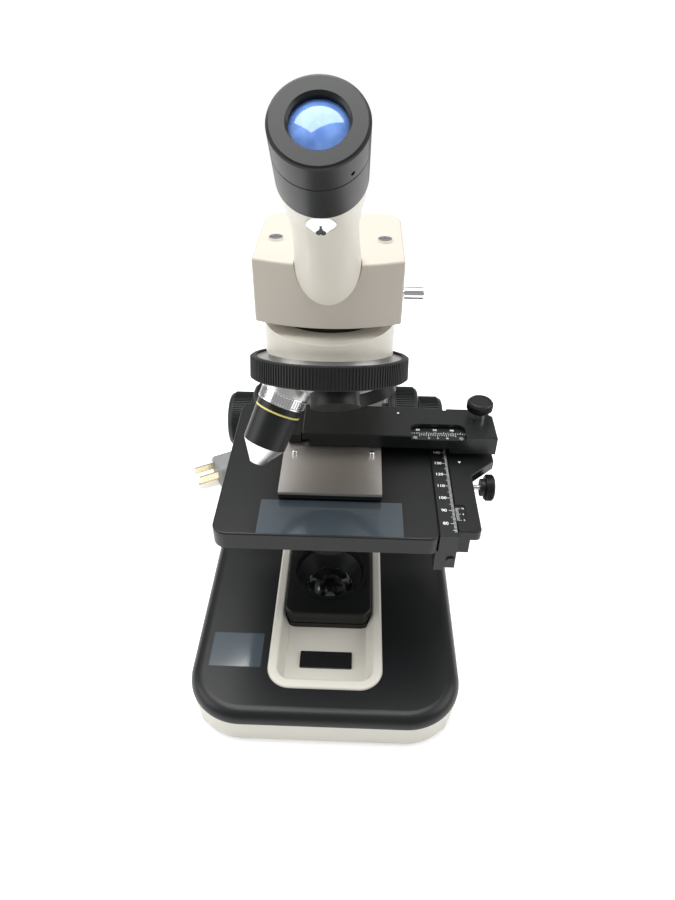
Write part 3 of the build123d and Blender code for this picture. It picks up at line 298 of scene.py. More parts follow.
def lettering(text: str, height: float, place: Matrix) -> bmesh.types.BMesh:
    """Makes a plain number as a thin mesh.

    Args:
        text: The digits.
        height: The font size in millimetres.
        place: The plane that it lies on, X along the line of text.

    Returns:
        The number's mesh.
    """
    curve = bpy.data.curves.new("number", "FONT")
    curve.body = text
    curve.size = height * MM
    curve.align_x = "CENTER"
    curve.align_y = "CENTER"
    curve.extrude = DIGIT_RAISE * MM
    curve.offset = DIGIT_WEIGHT * height * MM
    curve.resolution_u = DIGIT_STEPS
    holder = bpy.data.objects.new("number", curve)
    bpy.context.scene.collection.objects.link(holder)
    bpy.context.view_layer.update()
    flat = bpy.data.meshes.new_from_object(holder.evaluated_get(bpy.context.evaluated_depsgraph_get()))
    bpy.data.objects.remove(holder)
    bpy.data.curves.remove(curve)
    bm = bmesh.new()
    bm.from_mesh(flat)
    bpy.data.meshes.remove(flat)
    bmesh.ops.transform(bm, matrix=place, verts=bm.verts)
    return bm


class SurfaceNoise:
    """The shader node group that gives every finish its fine unevenness."""

    FINE_DETAIL = 4
    FINE_ROUGHNESS = 0.6
    BROAD_DETAIL = 3
    _group: bpy.types.NodeTree | None = None

    @classmethod
    def group(cls) -> bpy.types.NodeTree:
        """Builds the group once.

        Returns:
            The node group with Colour, Roughness and Height outputs.
        """
        if cls._group is not None:
            return cls._group
        tree = bpy.data.node_groups.new("surface unevenness", "ShaderNodeTree")
        face = tree.interface
        face.new_socket("Vector", in_out="INPUT", socket_type="NodeSocketVector")
        for name in ("Colour", "Worn Colour"):
            face.new_socket(name, in_out="INPUT", socket_type="NodeSocketColor")
        for name in ("Fine Scale", "Broad Scale", "Wear", "Roughness", "Spread"):
            face.new_socket(name, in_out="INPUT", socket_type="NodeSocketFloat")
        face.new_socket("Colour", in_out="OUTPUT", socket_type="NodeSocketColor")
        face.new_socket("Roughness", in_out="OUTPUT", socket_type="NodeSocketFloat")
        face.new_socket("Height", in_out="OUTPUT", socket_type="NodeSocketFloat")
        nodes, links = tree.nodes, tree.links
        entry = nodes.new("NodeGroupInput")
        leave = nodes.new("NodeGroupOutput")
        fine = nodes.new("ShaderNodeTexNoise")
        fine.inputs["Detail"].default_value = cls.FINE_DETAIL
        fine.inputs["Roughness"].default_value = cls.FINE_ROUGHNESS
        broad = nodes.new("ShaderNodeTexNoise")
        broad.inputs["Detail"].default_value = cls.BROAD_DETAIL
        links.new(entry.outputs["Vector"], fine.inputs["Vector"])
        links.new(entry.outputs["Vector"], broad.inputs["Vector"])
        links.new(entry.outputs["Fine Scale"], fine.inputs["Scale"])
        links.new(entry.outputs["Broad Scale"], broad.inputs["Scale"])
        blot = nodes.new("ShaderNodeMath")
        blot.operation = "MULTIPLY"
        links.new(broad.outputs["Fac"], blot.inputs[0])
        links.new(entry.outputs["Wear"], blot.inputs[1])
        mix = nodes.new("ShaderNodeMix")
        mix.data_type = "RGBA"
        links.new(blot.outputs[0], mix.inputs["Factor"])
        links.new(entry.outputs["Colour"], mix.inputs[MIX_FIRST])
        links.new(entry.outputs["Worn Colour"], mix.inputs[MIX_SECOND])
        centred = nodes.new("ShaderNodeMath")
        centred.operation = "SUBTRACT"
        centred.inputs[1].default_value = 0.5
        links.new(fine.outputs["Fac"], centred.inputs[0])
        scaled = nodes.new("ShaderNodeMath")
        scaled.operation = "MULTIPLY_ADD"
        links.new(centred.outputs[0], scaled.inputs[0])
        links.new(entry.outputs["Spread"], scaled.inputs[1])
        links.new(entry.outputs["Roughness"], scaled.inputs[2])
        links.new(mix.outputs[MIX_RESULT], leave.inputs["Colour"])
        links.new(scaled.outputs[0], leave.inputs["Roughness"])
        links.new(fine.outputs["Fac"], leave.inputs["Height"])
        cls._group = tree
        return tree


@dataclass(frozen=True)
class Finish:
    """One procedural surface finish, used by every piece of its kind."""

    name: str
    slot: str
    colour: Colour
    worn: Colour
    roughness: float
    metallic: float = 0.0
    spread: float = 0.12
    wear: float = 0.4
    fine: float = 900.0
    broad: float = 14.0
    bump: float = 0.0
    coat: float = 0.0
    specular: float = 0.5
    transmission: float = 0.0
    ior: float = 1.5
    grain: Grain = Grain.EVEN

    def material(self) -> bpy.types.Material:
        """Builds or finds the finish's material.

        Returns:
            The node material.
        """
        found = bpy.data.materials.get(self.name)
        if found is not None:
            return found
        mat = bpy.data.materials.new(self.name)
        mat.use_nodes = True
        nodes, links = mat.node_tree.nodes, mat.node_tree.links
        shader = nodes["Principled BSDF"]
        place = nodes.new("ShaderNodeTexCoord")
        turn = nodes.new("ShaderNodeMapping")
        turn.inputs["Scale"].default_value = self.grain.value
        links.new(place.outputs["Object"], turn.inputs["Vector"])
        noise = nodes.new("ShaderNodeGroup")
        noise.node_tree = SurfaceNoise.group()
        links.new(turn.outputs["Vector"], noise.inputs["Vector"])
        noise.inputs["Colour"].default_value = (*self.colour, 1)
        noise.inputs["Worn Colour"].default_value = (*self.worn, 1)
        noise.inputs["Fine Scale"].default_value = self.fine
        noise.inputs["Broad Scale"].default_value = self.broad
        noise.inputs["Wear"].default_value = self.wear
        noise.inputs["Roughness"].default_value = self.roughness
        noise.inputs["Spread"].default_value = self.spread
        links.new(noise.outputs["Colour"], shader.inputs["Base Color"])
        links.new(noise.outputs["Roughness"], shader.inputs["Roughness"])
        shader.inputs["Metallic"].default_value = self.metallic
        shader.inputs["Coat Weight"].default_value = self.coat
        shader.inputs["Coat Roughness"].default_value = COAT_ROUGHNESS
        shader.inputs["Specular IOR Level"].default_value = self.specular
        shader.inputs["Transmission Weight"].default_value = self.transmission
        shader.inputs["IOR"].default_value = self.ior
        if self.bump > 0:
            bump = nodes.new("ShaderNodeBump")
            bump.inputs["Distance"].default_value = BUMP_DEPTH
            bump.inputs["Strength"].default_value = self.bump
            links.new(noise.outputs["Height"], bump.inputs["Height"])
            links.new(bump.outputs["Normal"], shader.inputs["Normal"])
        return mat

    def paint(self, *pieces: bpy.types.Object) -> None:
        """Puts the finish on new pieces."""
        for piece in pieces:
            piece.data.materials.clear()
            piece.data.materials.append(self.material())

    def paint_nodes(self, frame: dict, *names: str) -> None:
        """Puts the finish on CAD nodes.

        Args:
            names: The nodes.
        """
        for name in names:
            frame["nodes"][name].data.materials[0] = self.material()


CREAM = Finish("cream enamel", "cream_paint", (0.70, 0.67, 0.59), (0.64, 0.60, 0.51), 0.42, wear=0.5,
               fine=1400, broad=9, bump=0.10, coat=0.15)
CREAM_MOULDED = Finish("cream moulding", "cream_plastic", (0.70, 0.68, 0.61), (0.63, 0.60, 0.53), 0.5,
                       wear=0.5, fine=1600, broad=11, bump=0.12)
# The prism housing has the same cream paint as the arm; this darker copy paints in the shade on its front
# faces.
SHADED_HOUSING = Finish("housing enamel painted shade", "cream_paint", (0.50, 0.46, 0.40), (0.44, 0.40, 0.34), 0.6, wear=0.5,
                 fine=2600, broad=12, bump=0.28)
DECK = Finish("black deck enamel", "black_enamel", (0.006, 0.0065, 0.007), (0.012, 0.013, 0.014), 0.36,
              spread=0.1, fine=1800, broad=7, bump=0.1, specular=0.35)
ANODISED = Finish("black anodised", "black_anodised", (0.006, 0.0065, 0.0065), (0.012, 0.013, 0.013), 0.36,
                  spread=0.14, fine=1500, broad=10, bump=0.08, specular=0.35)
SCALE = Finish("scale black", "scale_black", (0.008, 0.009, 0.009), (0.014, 0.015, 0.015), 0.34,
               spread=0.1, fine=1600, broad=12, bump=0.05, specular=0.4)
COVER = Finish("cover anodised", "black_anodised", (0.009, 0.010, 0.010), (0.016, 0.017, 0.017), 0.32,
               spread=0.1, fine=1500, broad=10, bump=0.06, specular=0.4)
MOULDED = Finish("black moulding", "black_plastic", (0.006, 0.006, 0.0065), (0.012, 0.012, 0.013), 0.4,
                 spread=0.12, fine=1300, broad=16, bump=0.08, specular=0.35)
EYEPIECE = Finish("eyepiece satin", "black_plastic", (0.007, 0.0075, 0.008), (0.013, 0.014, 0.015), 0.36,
                  spread=0.1, fine=1500, broad=16, bump=0.05, specular=0.35)
KNOB = Finish("knob moulding", "knob_black", (0.010, 0.012, 0.012), (0.018, 0.020, 0.020), 0.45,
              spread=0.12, fine=1200, broad=18, bump=0.1, specular=0.35)
GRIP = Finish("grip ring", "grip_rubber", (0.005, 0.005, 0.0055), (0.010, 0.010, 0.011), 0.5, spread=0.15,
              fine=1200, broad=20, bump=0.1)
FOOT = Finish("foot rubber", "foot_rubber", (0.03, 0.03, 0.03), (0.05, 0.05, 0.05), 0.8, fine=1500, bump=0.2)
SILVER = Finish("satin aluminium", "silver", (0.74, 0.73, 0.71), (0.62, 0.61, 0.60), 0.34, metallic=1.0,
                spread=0.18, fine=2200, broad=30, bump=0.08)
TURNED = Finish("turned aluminium", "silver", (0.80, 0.79, 0.77), (0.66, 0.65, 0.63), 0.30, metallic=1.0,
                spread=0.2, fine=1800, broad=30, bump=0.08)
PLATE = Finish("brushed plate", "plate_steel", (0.62, 0.585, 0.56), (0.50, 0.47, 0.44), 0.40, metallic=1.0,
               spread=0.25, wear=0.6, fine=1500, broad=60, bump=0.2, grain=Grain.ALONG_X)
STEEL = Finish("machined steel", "steel", (0.55, 0.55, 0.55), (0.42, 0.42, 0.42), 0.36, metallic=1.0,
               spread=0.2, fine=1500, broad=40, bump=0.1, grain=Grain.ALONG_Z)
CHROME = Finish("bright chrome", "bright_chrome", (0.80, 0.80, 0.81), (0.66, 0.66, 0.67), 0.12, metallic=1.0,
                spread=0.08, fine=900, broad=60, bump=0.02)
BLADE = Finish("blade brass", "brass_blades", (0.74, 0.68, 0.50), (0.55, 0.47, 0.32), 0.28, metallic=1.0,
               spread=0.2, fine=1200, broad=50, bump=0.05)
GLASS = Finish("lens glass", "clear_glass", (0.85, 0.92, 0.97), (0.78, 0.86, 0.95), 0.03, spread=0.02,
               fine=300, transmission=1.0, ior=1.52)
PLUG = Finish("plug moulding", "grey_plastic", (0.20, 0.205, 0.21), (0.27, 0.275, 0.28), 0.5, fine=900,
              bump=0.1)
VINYL = Finish("cord vinyl", "cord_vinyl", (0.16, 0.165, 0.17), (0.21, 0.215, 0.22), 0.45, fine=900,
               broad=40, bump=0.08)
IRON = Finish("varnished iron", "iron_core", (0.20, 0.16, 0.13), (0.12, 0.10, 0.09), 0.5, fine=800, bump=0.2)
CERAMIC = Finish("lamp ceramic", "ceramic", (0.72, 0.69, 0.62), (0.6, 0.57, 0.5), 0.5, fine=800, bump=0.1)
FILM = Finish("clear film", "scale_black", (0.055, 0.072, 0.085), (0.080, 0.100, 0.118), 0.12, spread=0.05,
              fine=60, broad=22, coat=1.0, bump=0.02)
BADGE = Finish("blank badge", "scale_black", (0.012, 0.012, 0.013), (0.02, 0.02, 0.021), 0.22, spread=0.06,
               fine=900, broad=20, bump=0.03, coat=0.4)
INK = Finish("scale ink", "cream_plastic", (0.86, 0.87, 0.86), (0.74, 0.75, 0.74), 0.55, fine=900)
YELLOW = Finish("objective band", "brass_blades", (0.80, 0.72, 0.22), (0.70, 0.60, 0.15), 0.4, fine=900)


@dataclass(frozen=True)
class CoatedGlass:
    """The eye lens: dark glass with a blue anti-reflection bloom."""

    name: str = "bloomed glass"
    body: Colour = (0.06, 0.13, 0.42)
    bloom: Colour = (0.42, 0.62, 1.0)
    tint: Colour = (0.65, 0.8, 1.0)
    cloud_scale: float = 190
    roughness: float = 0.04
    coat_roughness: float = 0.02

    def material(self) -> bpy.types.Material:
        """Builds the material with the bloom in soft clouds.

        Returns:
            The node material.
        """
        mat = bpy.data.materials.new(self.name)
        mat.use_nodes = True
        nodes, links = mat.node_tree.nodes, mat.node_tree.links
        shader = nodes["Principled BSDF"]
        cloud = nodes.new("ShaderNodeTexNoise")
        cloud.inputs["Scale"].default_value = self.cloud_scale
        place = nodes.new("ShaderNodeTexCoord")
        links.new(place.outputs["Object"], cloud.inputs["Vector"])
        mix = nodes.new("ShaderNodeMix")
        mix.data_type = "RGBA"
        mix.inputs[MIX_FIRST].default_value = (*self.body, 1)
        mix.inputs[MIX_SECOND].default_value = (*self.bloom, 1)
        links.new(cloud.outputs["Fac"], mix.inputs["Factor"])
        links.new(mix.outputs[MIX_RESULT], shader.inputs["Base Color"])
        shader.inputs["Roughness"].default_value = self.roughness
        shader.inputs["Coat Weight"].default_value = 1.0
        shader.inputs["Coat Roughness"].default_value = self.coat_roughness
        shader.inputs["Coat Tint"].default_value = (*self.tint, 1)
        return mat


@dataclass
class FocusKnobs:
    """The two pairs of ribbed focusing knobs on their common axis."""

    axis_y: float = 88.0
    axis_z: float = 93.1
    coarse_r: float = 26.0
    fine_r: float = 19.6
    coarse_in: float = 36.4
    coarse_out: float = 57.2
    fine_in: float = 57.8
    fine_out: float = 74.8
    coarse_ribs: int = 96
    fine_ribs: int = 84
    rib_w: float = 1.0
    rib_h: float = 0.8
    rim_rib_h: float = 0.6
    fine_rib_w: float = 0.9
    fine_rib_h: float = 0.7
    hub_r: float = 14.0
    hub_in: float = 31.6
    bore_r: float = 3.1
    sleeve_r: float = 5.0
    sleeve_out: float = 31.7
    pinion_r: float = 7.2
    pinion_out: float = 8.0
    pinion_teeth: int = 24
    tooth_w: float = 1.1
    tooth_h: float = 0.7
    tooth_end: float = 0.4
    shaft_r: float = 3.0
    cap_r: float = 3.2
    coarse_facets: int = 128
    fine_facets: int = 112
    sleeve_facets: int = 64
    shaft_facets: int = 48
    cap_facets: int = 32

    def _frame(self, side: Side) -> Matrix:
        """Gives the knobs' frame, with Z outwards on that side."""
        return BENCH.plane((0, self.axis_y, self.axis_z), (0, 1, 0), (side.value, 0, 0))

    def coarse(self) -> bpy.types.Object:
        """Builds the coarse pair on its sleeve, with the pinion between.

        Returns:
            The piece that stands for the coarse knobs.
        """
        whole = bmesh.new()
        bore, sleeve, r, a, b = self.bore_r, self.sleeve_r, self.coarse_r, self.coarse_in, self.coarse_out
        for side in Side:
            place = self._frame(side)
            join_into(whole, lathe([
                (bore, self.hub_in), (self.hub_r, self.hub_in), (self.hub_r, a), (r - 1.8, a),
                (r - 0.8, a + 0.5), (r - 0.8, a + 3.2), (r - 1.5, a + 3.6), (r - 1.5, a + 4.6),
                (r - 0.8, a + 5.0), (r - 0.8, b - 2.4), (r - 1.4, b - 1.0), (r - 3.0, b), (9.0, b), (bore, b),
            ], place, self.coarse_facets))
            join_into(whole, rib_ring(place, r, a + 5.2, b - 2.4, self.coarse_ribs, self.rib_w, self.rib_h))
            join_into(whole, rib_ring(place, r - 0.1, a + 0.7, a + 3.0, self.coarse_ribs, self.rib_w,
                                      self.rim_rib_h))
        place = self._frame(Side.RIGHT)
        out, tooth = self.sleeve_out, self.pinion_out
        join_into(whole, lathe([
            (bore, -out), (sleeve, -out), (sleeve, -tooth), (self.pinion_r, -tooth), (self.pinion_r, tooth),
            (sleeve, tooth), (sleeve, out), (bore, out),
        ], place, self.sleeve_facets))
        tip, end = self.pinion_r + self.tooth_h, tooth - self.tooth_end
        join_into(whole, rib_ring(place, tip, -end, end, self.pinion_teeth, self.tooth_w, self.rib_h))
        return finish_mesh("coarse_knob_pair", whole)

    def fine(self) -> bpy.types.Object:
        """Builds the fine pair on its shaft.

        Returns:
            The piece that stands for the fine knobs.
        """
        whole = bmesh.new()
        shaft, cap, r, a, b = self.shaft_r, self.cap_r, self.fine_r, self.fine_in, self.fine_out
        for side in Side:
            place = self._frame(side)
            join_into(whole, lathe([
                (shaft, a), (r - 1.4, a), (r - 0.7, a + 0.6), (r - 0.7, b - 3.4), (r - 1.3, b - 1.6),
                (r - 2.4, b - 0.5), (r - 3.8, b), (r - 6.0, b), (r - 6.6, b - 0.7), (shaft, b - 0.7),
            ], place, self.fine_facets))
            join_into(whole, lathe([
                (0, b - 0.7), (cap, b - 0.7), (cap, b - 0.3), (cap - 0.6, b - 0.1), (0, b - 0.1),
            ], place, self.cap_facets))
            join_into(whole, rib_ring(place, r, a + 0.9, b - 3.4, self.fine_ribs, self.fine_rib_w,
                                      self.fine_rib_h))
        rod = [(0, -a), (shaft, -a), (shaft, a), (0, a)]
        join_into(whole, lathe(rod, self._frame(Side.RIGHT), self.shaft_facets))
        return finish_mesh("fine_knob_pair", whole)

    def build(self) -> None:
        """Builds both pairs and lets them ride on their drives."""
        coarse = self.coarse()
        KNOB.paint(coarse)
        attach(coarse, "coarse_drive")
        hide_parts("coarse_knobs")
        fine = self.fine()
        KNOB.paint(fine)
        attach(fine, "fine_drive")
        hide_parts("fine_knobs")
        log.info("focus knobs: %d and %d vertices", len(coarse.data.vertices), len(fine.data.vertices))


@dataclass
class Nosepiece:
    """The ribbed grip ring, the objective's knurl and its colour band.

    The turn gives the objective's port, in degrees from the front port towards the left one.
    """

    tilt: float = 22.0
    origin: Point = (0.0, -13.2, 206.1)
    ring_r: float = 39.1
    ring_in: float = 36.1
    ring_h: float = 11.2
    ring_ribs: int = 156
    knurl_r: float = 12.0
    knurl_ribs: int = 48
    rib_h: float = 0.5
    rib_w: float = 0.85
    ring_facets: int = 160
    knurl_facets: int = 96
    ring_crease: float = 28.0
    port_r: float = 21.8
    port_depth: float = 18.4
    turn: float = 80.0

    def ring_frame(self) -> Matrix:
        """The nosepiece's top plane, Z along its axis."""
        t = math.radians(self.tilt)
        return BENCH.plane(self.origin, (1, 0, 0), (0, math.sin(t), math.cos(t)))

    def port_frame(self) -> Matrix:
        """Gives the frame of the objective's port, Z out of it.

        Returns:
            The placement of the port's shoulder.
        """
        t, a = math.radians(self.tilt), math.radians(self.turn)
        front = Vector((0, -math.cos(t), math.sin(t)))
        radial = front * math.cos(a) + Vector((-1, 0, 0)) * math.sin(a)
        down = Vector((0, -math.sin(t), -math.cos(t)))
        out = down * math.cos(t) + radial * math.sin(t)
        origin = Vector(self.origin) + down * self.port_depth + radial * self.port_r
        return BENCH.plane(tuple(origin), tuple(Vector((0, 0, 1)).cross(out)), tuple(out))

    def grip(self) -> bpy.types.Object:
        """Builds the grip ring.

        Returns:
            The ribbed ring.
        """
        place, r, i, h = self.ring_frame(), self.ring_r, self.ring_in, self.ring_h
        bm = lathe([
            (i, -0.05), (i + 0.5, 0), (r - 1.1, 0), (r - 0.5, -0.4), (r - 0.5, -h + 0.4), (r - 1.1, -h),
            (i, -h),
        ], place, self.ring_facets)
        join_into(bm, rib_ring(place, r, -h + 0.5, -0.5, self.ring_ribs, self.rib_w, self.rib_h))
        return finish_mesh("nosepiece_grip", bm, self.ring_crease)

    def collar(self) -> bpy.types.Object:
        """Builds the objective's knurled collar.

        Returns:
            The collar with its thread.
        """
        place = self.port_frame()
        bm = lathe([
            (7.2, -5), (9.6, -5), (10.0, -4.6), (10.0, -0.2), (10.6, 0.05), (11.7, 0.05), (11.95, 0.3),
            (11.95, 0.9), (11.5, 1.2), (11.5, 5.2), (11.95, 5.5), (11.95, 6.1), (11.7, 6.35), (7.2, 6.35),
        ], place, self.knurl_facets)
        join_into(bm, rib_ring(place, self.knurl_r, 1.2, 5.2, self.knurl_ribs, self.rib_w, self.rib_h))
        return finish_mesh("objective_knurl", bm)

    def band(self) -> bpy.types.Object:
        """Builds the thin colour band round the barrel.

        Returns:
            The band.
        """
        outline = [(11.35, 9.6), (11.46, 9.6), (11.45, 10.5), (11.33, 10.5)]
        return finish_mesh("objective_band", lathe(outline, self.port_frame(), self.knurl_facets))

    def build(self) -> None:
        """Builds the nosepiece's pieces."""
        ring = self.grip()
        GRIP.paint(ring)
        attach(ring, "nosepiece")
        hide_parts("grip_ring")
        collar = self.collar()
        CHROME.paint(collar)
        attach(collar, "nosepiece")
        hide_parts("objective_collar")
        band = self.band()
        YELLOW.paint(band)
        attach(band, "nosepiece")
        log.info("nosepiece: ring, knurl and band")


@dataclass
class StageScales:
    """The white scales, numbers and marks of the mechanical stage."""

    rail_edge: float = 68.7
    rail_top: float = 126.5
    first_y: float = -48.0
    first_value: int = 80
    rail_lines: tuple[int, int] = (-6, 92)
    rail_gap: float = 0.5
    rail_reach: tuple[float, float] = (2.2, 1.4)
    rail_tens: float = 3.0
    rail_numbers: int = 10
    rail_digit: float = 3.0
    rail_digit_in: float = 6.0
    recess_top: float = 125.9
    recess_edge: float = 68.9
    recess_y: float = -44.6
    recess_step: float = 0.9
    recess_lines: int = 11
    recess_reach: tuple[float, float] = (2.6, 1.6)
    recess_digit: float = 1.5
    recess_digit_x: float = 72.9
    recess_numbers: tuple[tuple[str, float], ...] = (("0", -44.6), ("5", -40.1), ("10", -35.6))
    arrow_at: Point = (75.4, 3.7, 126.4)
    arrow_r: float = 1.1
    slider_top: float = 139.0
    slider_edge: float = 13.6
    slider_x: float = 10.9
    slider_lines: tuple[int, int] = (-8, 75)
    slider_reach: tuple[float, float] = (1.8, 1.1)
    slider_numbers: int = 8
    slider_value: int = 20
    slider_digit: float = 2.4
    slider_digit_at: tuple[float, float] = (90.9, 17.4)
    vernier_top: float = 139.3
    vernier_edge: float = 12.7
    vernier_x: float = 51.6
    vernier_step: float = 1.05
    vernier_lines: int = 21
    vernier_reach: tuple[float, float] = (1.9, 1.2)
    vernier_digit: float = 1.7
    vernier_digit_y: float = 9.2
    vernier_numbers: tuple[tuple[str, float], ...] = (("0", 56.9), ("5", 62.1), ("10", 67.4))
    dot_at: Point = (39.6, 30.2, 141.8)
    dot_r: float = 0.75
    dot_foot: float = -0.1
    dot_facets: int = 24
    lift: float = 0.03
    ink: float = 0.06
    line: float = 0.2
    rail_line: float = 0.22

    @staticmethod
    def _reach(step: int, reach: tuple[float, float]) -> float:
        """Gives a line's length, which is greater for every fifth one."""
        return reach[0] if step % 5 == 0 else reach[1]

    def rail(self) -> bpy.types.Object:
        """Builds the millimetre scale along the rail, with its numbers.

        Returns:
            The rail's marks.
        """
        bm = bmesh.new()
        z = self.rail_top + self.lift
        for step in range(*self.rail_lines):
            length = self.rail_tens if step % 10 == 0 else self._reach(step, self.rail_reach)
            middle = (self.rail_edge - self.rail_gap - length / 2, self.first_y + step, z)
            join_into(bm, flat_line((length, self.rail_line, self.ink), middle))
        for index in range(self.rail_numbers):
            place = BENCH.plane((self.rail_edge - self.rail_digit_in, self.first_y + 10 * index, z))
            join_into(bm, lettering(str(self.first_value + 10 * index), self.rail_digit, place))
        return finish_mesh("rail_scale", bm, MARK_CREASE)

    def vernier(self) -> bpy.types.Object:
        """Builds the short vernier and the arrow mark on the carriage.

        Returns:
            The carriage's marks.
        """
        bm = bmesh.new()
        z = self.recess_top + self.lift
        for step in range(self.recess_lines):
            length = self._reach(step, self.recess_reach)
            middle = (self.recess_edge + length / 2, self.recess_y + self.recess_step * step, z)
            join_into(bm, flat_line((length, self.line, self.ink), middle))
        for text, y in self.recess_numbers:
            join_into(bm, lettering(text, self.recess_digit, BENCH.plane((self.recess_digit_x, y, z))))
        arrow = bmesh.new()
        made = bmesh.ops.create_cone(arrow, cap_ends=True, segments=3, radius1=self.arrow_r * MM,
                                     radius2=self.arrow_r * MM, depth=self.ink * MM)
        bmesh.ops.rotate(arrow, cent=(0, 0, 0), matrix=Matrix.Rotation(math.radians(180), 3, "Z"),
                         verts=made["verts"])
        x, y, top = self.arrow_at
        bmesh.ops.translate(arrow, vec=BENCH.at(x, y, top + self.lift), verts=made["verts"])
        join_into(bm, arrow)
        return finish_mesh("carriage_marks", bm, MARK_CREASE)

    def slider(self) -> bpy.types.Object:
        """Builds the scale on the slider, seen in the cover's window.

        Returns:
            The slider's marks.
        """
        bm = bmesh.new()
        z = self.slider_top + self.lift
        for step in range(*self.slider_lines):
            length = self._reach(step, self.slider_reach)
            middle = (self.slider_x + step, self.slider_edge + length / 2, z)
            join_into(bm, flat_line((self.line, length, self.ink), middle))
        x, y = self.slider_digit_at
        for index in range(self.slider_numbers):
            value = str(self.slider_value + 10 * index)
            join_into(bm, lettering(value, self.slider_digit, BENCH.plane((x - 10 * index, y, z))))
        return finish_mesh("slider_scale", bm, MARK_CREASE)

    def window(self) -> bpy.types.Object:
        """Builds the vernier lines on the strip in the window.

        Returns:
            The strip's marks.
        """
        bm = bmesh.new()
        z = self.vernier_top + self.lift
        for step in range(self.vernier_lines):
            length = self._reach(step, self.vernier_reach)
            middle = (self.vernier_x + self.vernier_step * step, self.vernier_edge - length / 2, z)
            join_into(bm, flat_line((self.line, length, self.ink), middle))
        for text, x in self.vernier_numbers:
            join_into(bm, lettering(text, self.vernier_digit, BENCH.plane((x, self.vernier_digit_y, z))))
        return finish_mesh("window_vernier", bm, MARK_CREASE)

    def dot(self) -> bpy.types.Object:
        """Builds the white index dot on the cover.

        Returns:
            The dot.
        """
        r, top, foot = self.dot_r, self.ink, self.dot_foot
        spot = lathe([(0, top), (r, top), (r, foot), (0, foot)], BENCH.plane(self.dot_at), self.dot_facets)
        return finish_mesh("cover_dot", spot)

    def build(self) -> None:
        """Builds all the marks and lets them ride on what carries them."""
        for piece, body in ((self.rail(), "stage"), (self.vernier(), "carriage"), (self.slider(), "slider"),
                            (self.window(), "carriage"), (self.dot(), "carriage")):
            INK.paint(piece)
            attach(piece, body)
        log.info("stage scales drawn")


@dataclass
class StageKnobs:
    """The small ribbed knobs of the X and Y drives."""

    x_axis: tuple[float, float] = (87.4, 28.3)
    y_axis: tuple[float, float] = (-6.3, 116.0)
    x_rib_r: float = 7.68
    y_rib_r: float = 7.78
    ribs: int = 64
    rib_w: float = 0.42
    rib_h: float = 0.33
    facets: int = 72

    def x_knob(self) -> bpy.types.Object:
        """Builds the upright knob with its sunk top.

        Returns:
            The knob.
        """
        place = BENCH.plane((*self.x_axis, 0))
        bm = lathe([
            (0, 147.0), (6.4, 147.0), (7.1, 147.6), (7.35, 148.4), (7.35, 151.6), (7.2, 152.6), (6.6, 153.3),
            (6.0, 153.45), (5.6, 152.9), (0, 152.75),
        ], place, self.facets)
        join_into(bm, rib_ring(place, self.x_rib_r, 148.2, 152.2, self.ribs, self.rib_w, self.rib_h))
        return finish_mesh("x_drive_knob", bm)

    def y_knob(self) -> bpy.types.Object:
        """Builds the knob at the carriage's right side.

        Returns:
            The knob with its hub.
        """
        place = BENCH.plane((0, *self.y_axis), (0, 1, 0), (1, 0, 0))
        bm = lathe([
            (1.6, 87.45), (5.0, 87.45), (5.2, 87.7), (5.2, 90.0), (6.9, 90.0), (7.45, 90.5), (7.45, 94.3),
            (7.0, 95.0), (6.2, 95.35), (5.6, 94.9), (0, 94.8), (0, 90.2), (1.6, 90.2),
        ], place, self.facets)
        join_into(bm, rib_ring(place, self.y_rib_r, 90.7, 94.3, self.ribs, self.rib_w, self.rib_h))
        return finish_mesh("y_drive_knob", bm)

    def build(self) -> None:
        """Builds both knobs."""
        for piece, node, body in ((self.x_knob(), "x_knob", "x_drive"), (self.y_knob(), "y_knob", "y_drive")):
            MOULDED.paint(piece)
            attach(piece, body)
            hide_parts(node)
        log.info("stage drive knobs")


@dataclass
class Films:
    """The two plain films on the base and the stage."""

    thick: float = 0.12
    corner: float = 0.6
    base_size: tuple[float, float] = (30.7, 23.7)
    base_at: Point = (-53.6, -60.5, 28.02)
    stage_size: tuple[float, float] = (76.5, 25.7)
    stage_at: Point = (2.0, -46.4, 126.52)

    def _film(self, name: str, size: tuple[float, float], at: Point) -> bpy.types.Object:
        """Makes one film, with the middle of its lower face at a point."""
        return finish_mesh(name, rounded_sheet(*size, self.corner, self.thick, at))

    def build(self) -> None:
        """Builds both films."""
        base = self._film("base_film", self.base_size, self.base_at)
        stage = self._film("stage_film", self.stage_size, self.stage_at)
        FILM.paint(base, stage)
        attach(base, "stand")
        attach(stage, "stage")
        log.info("films")


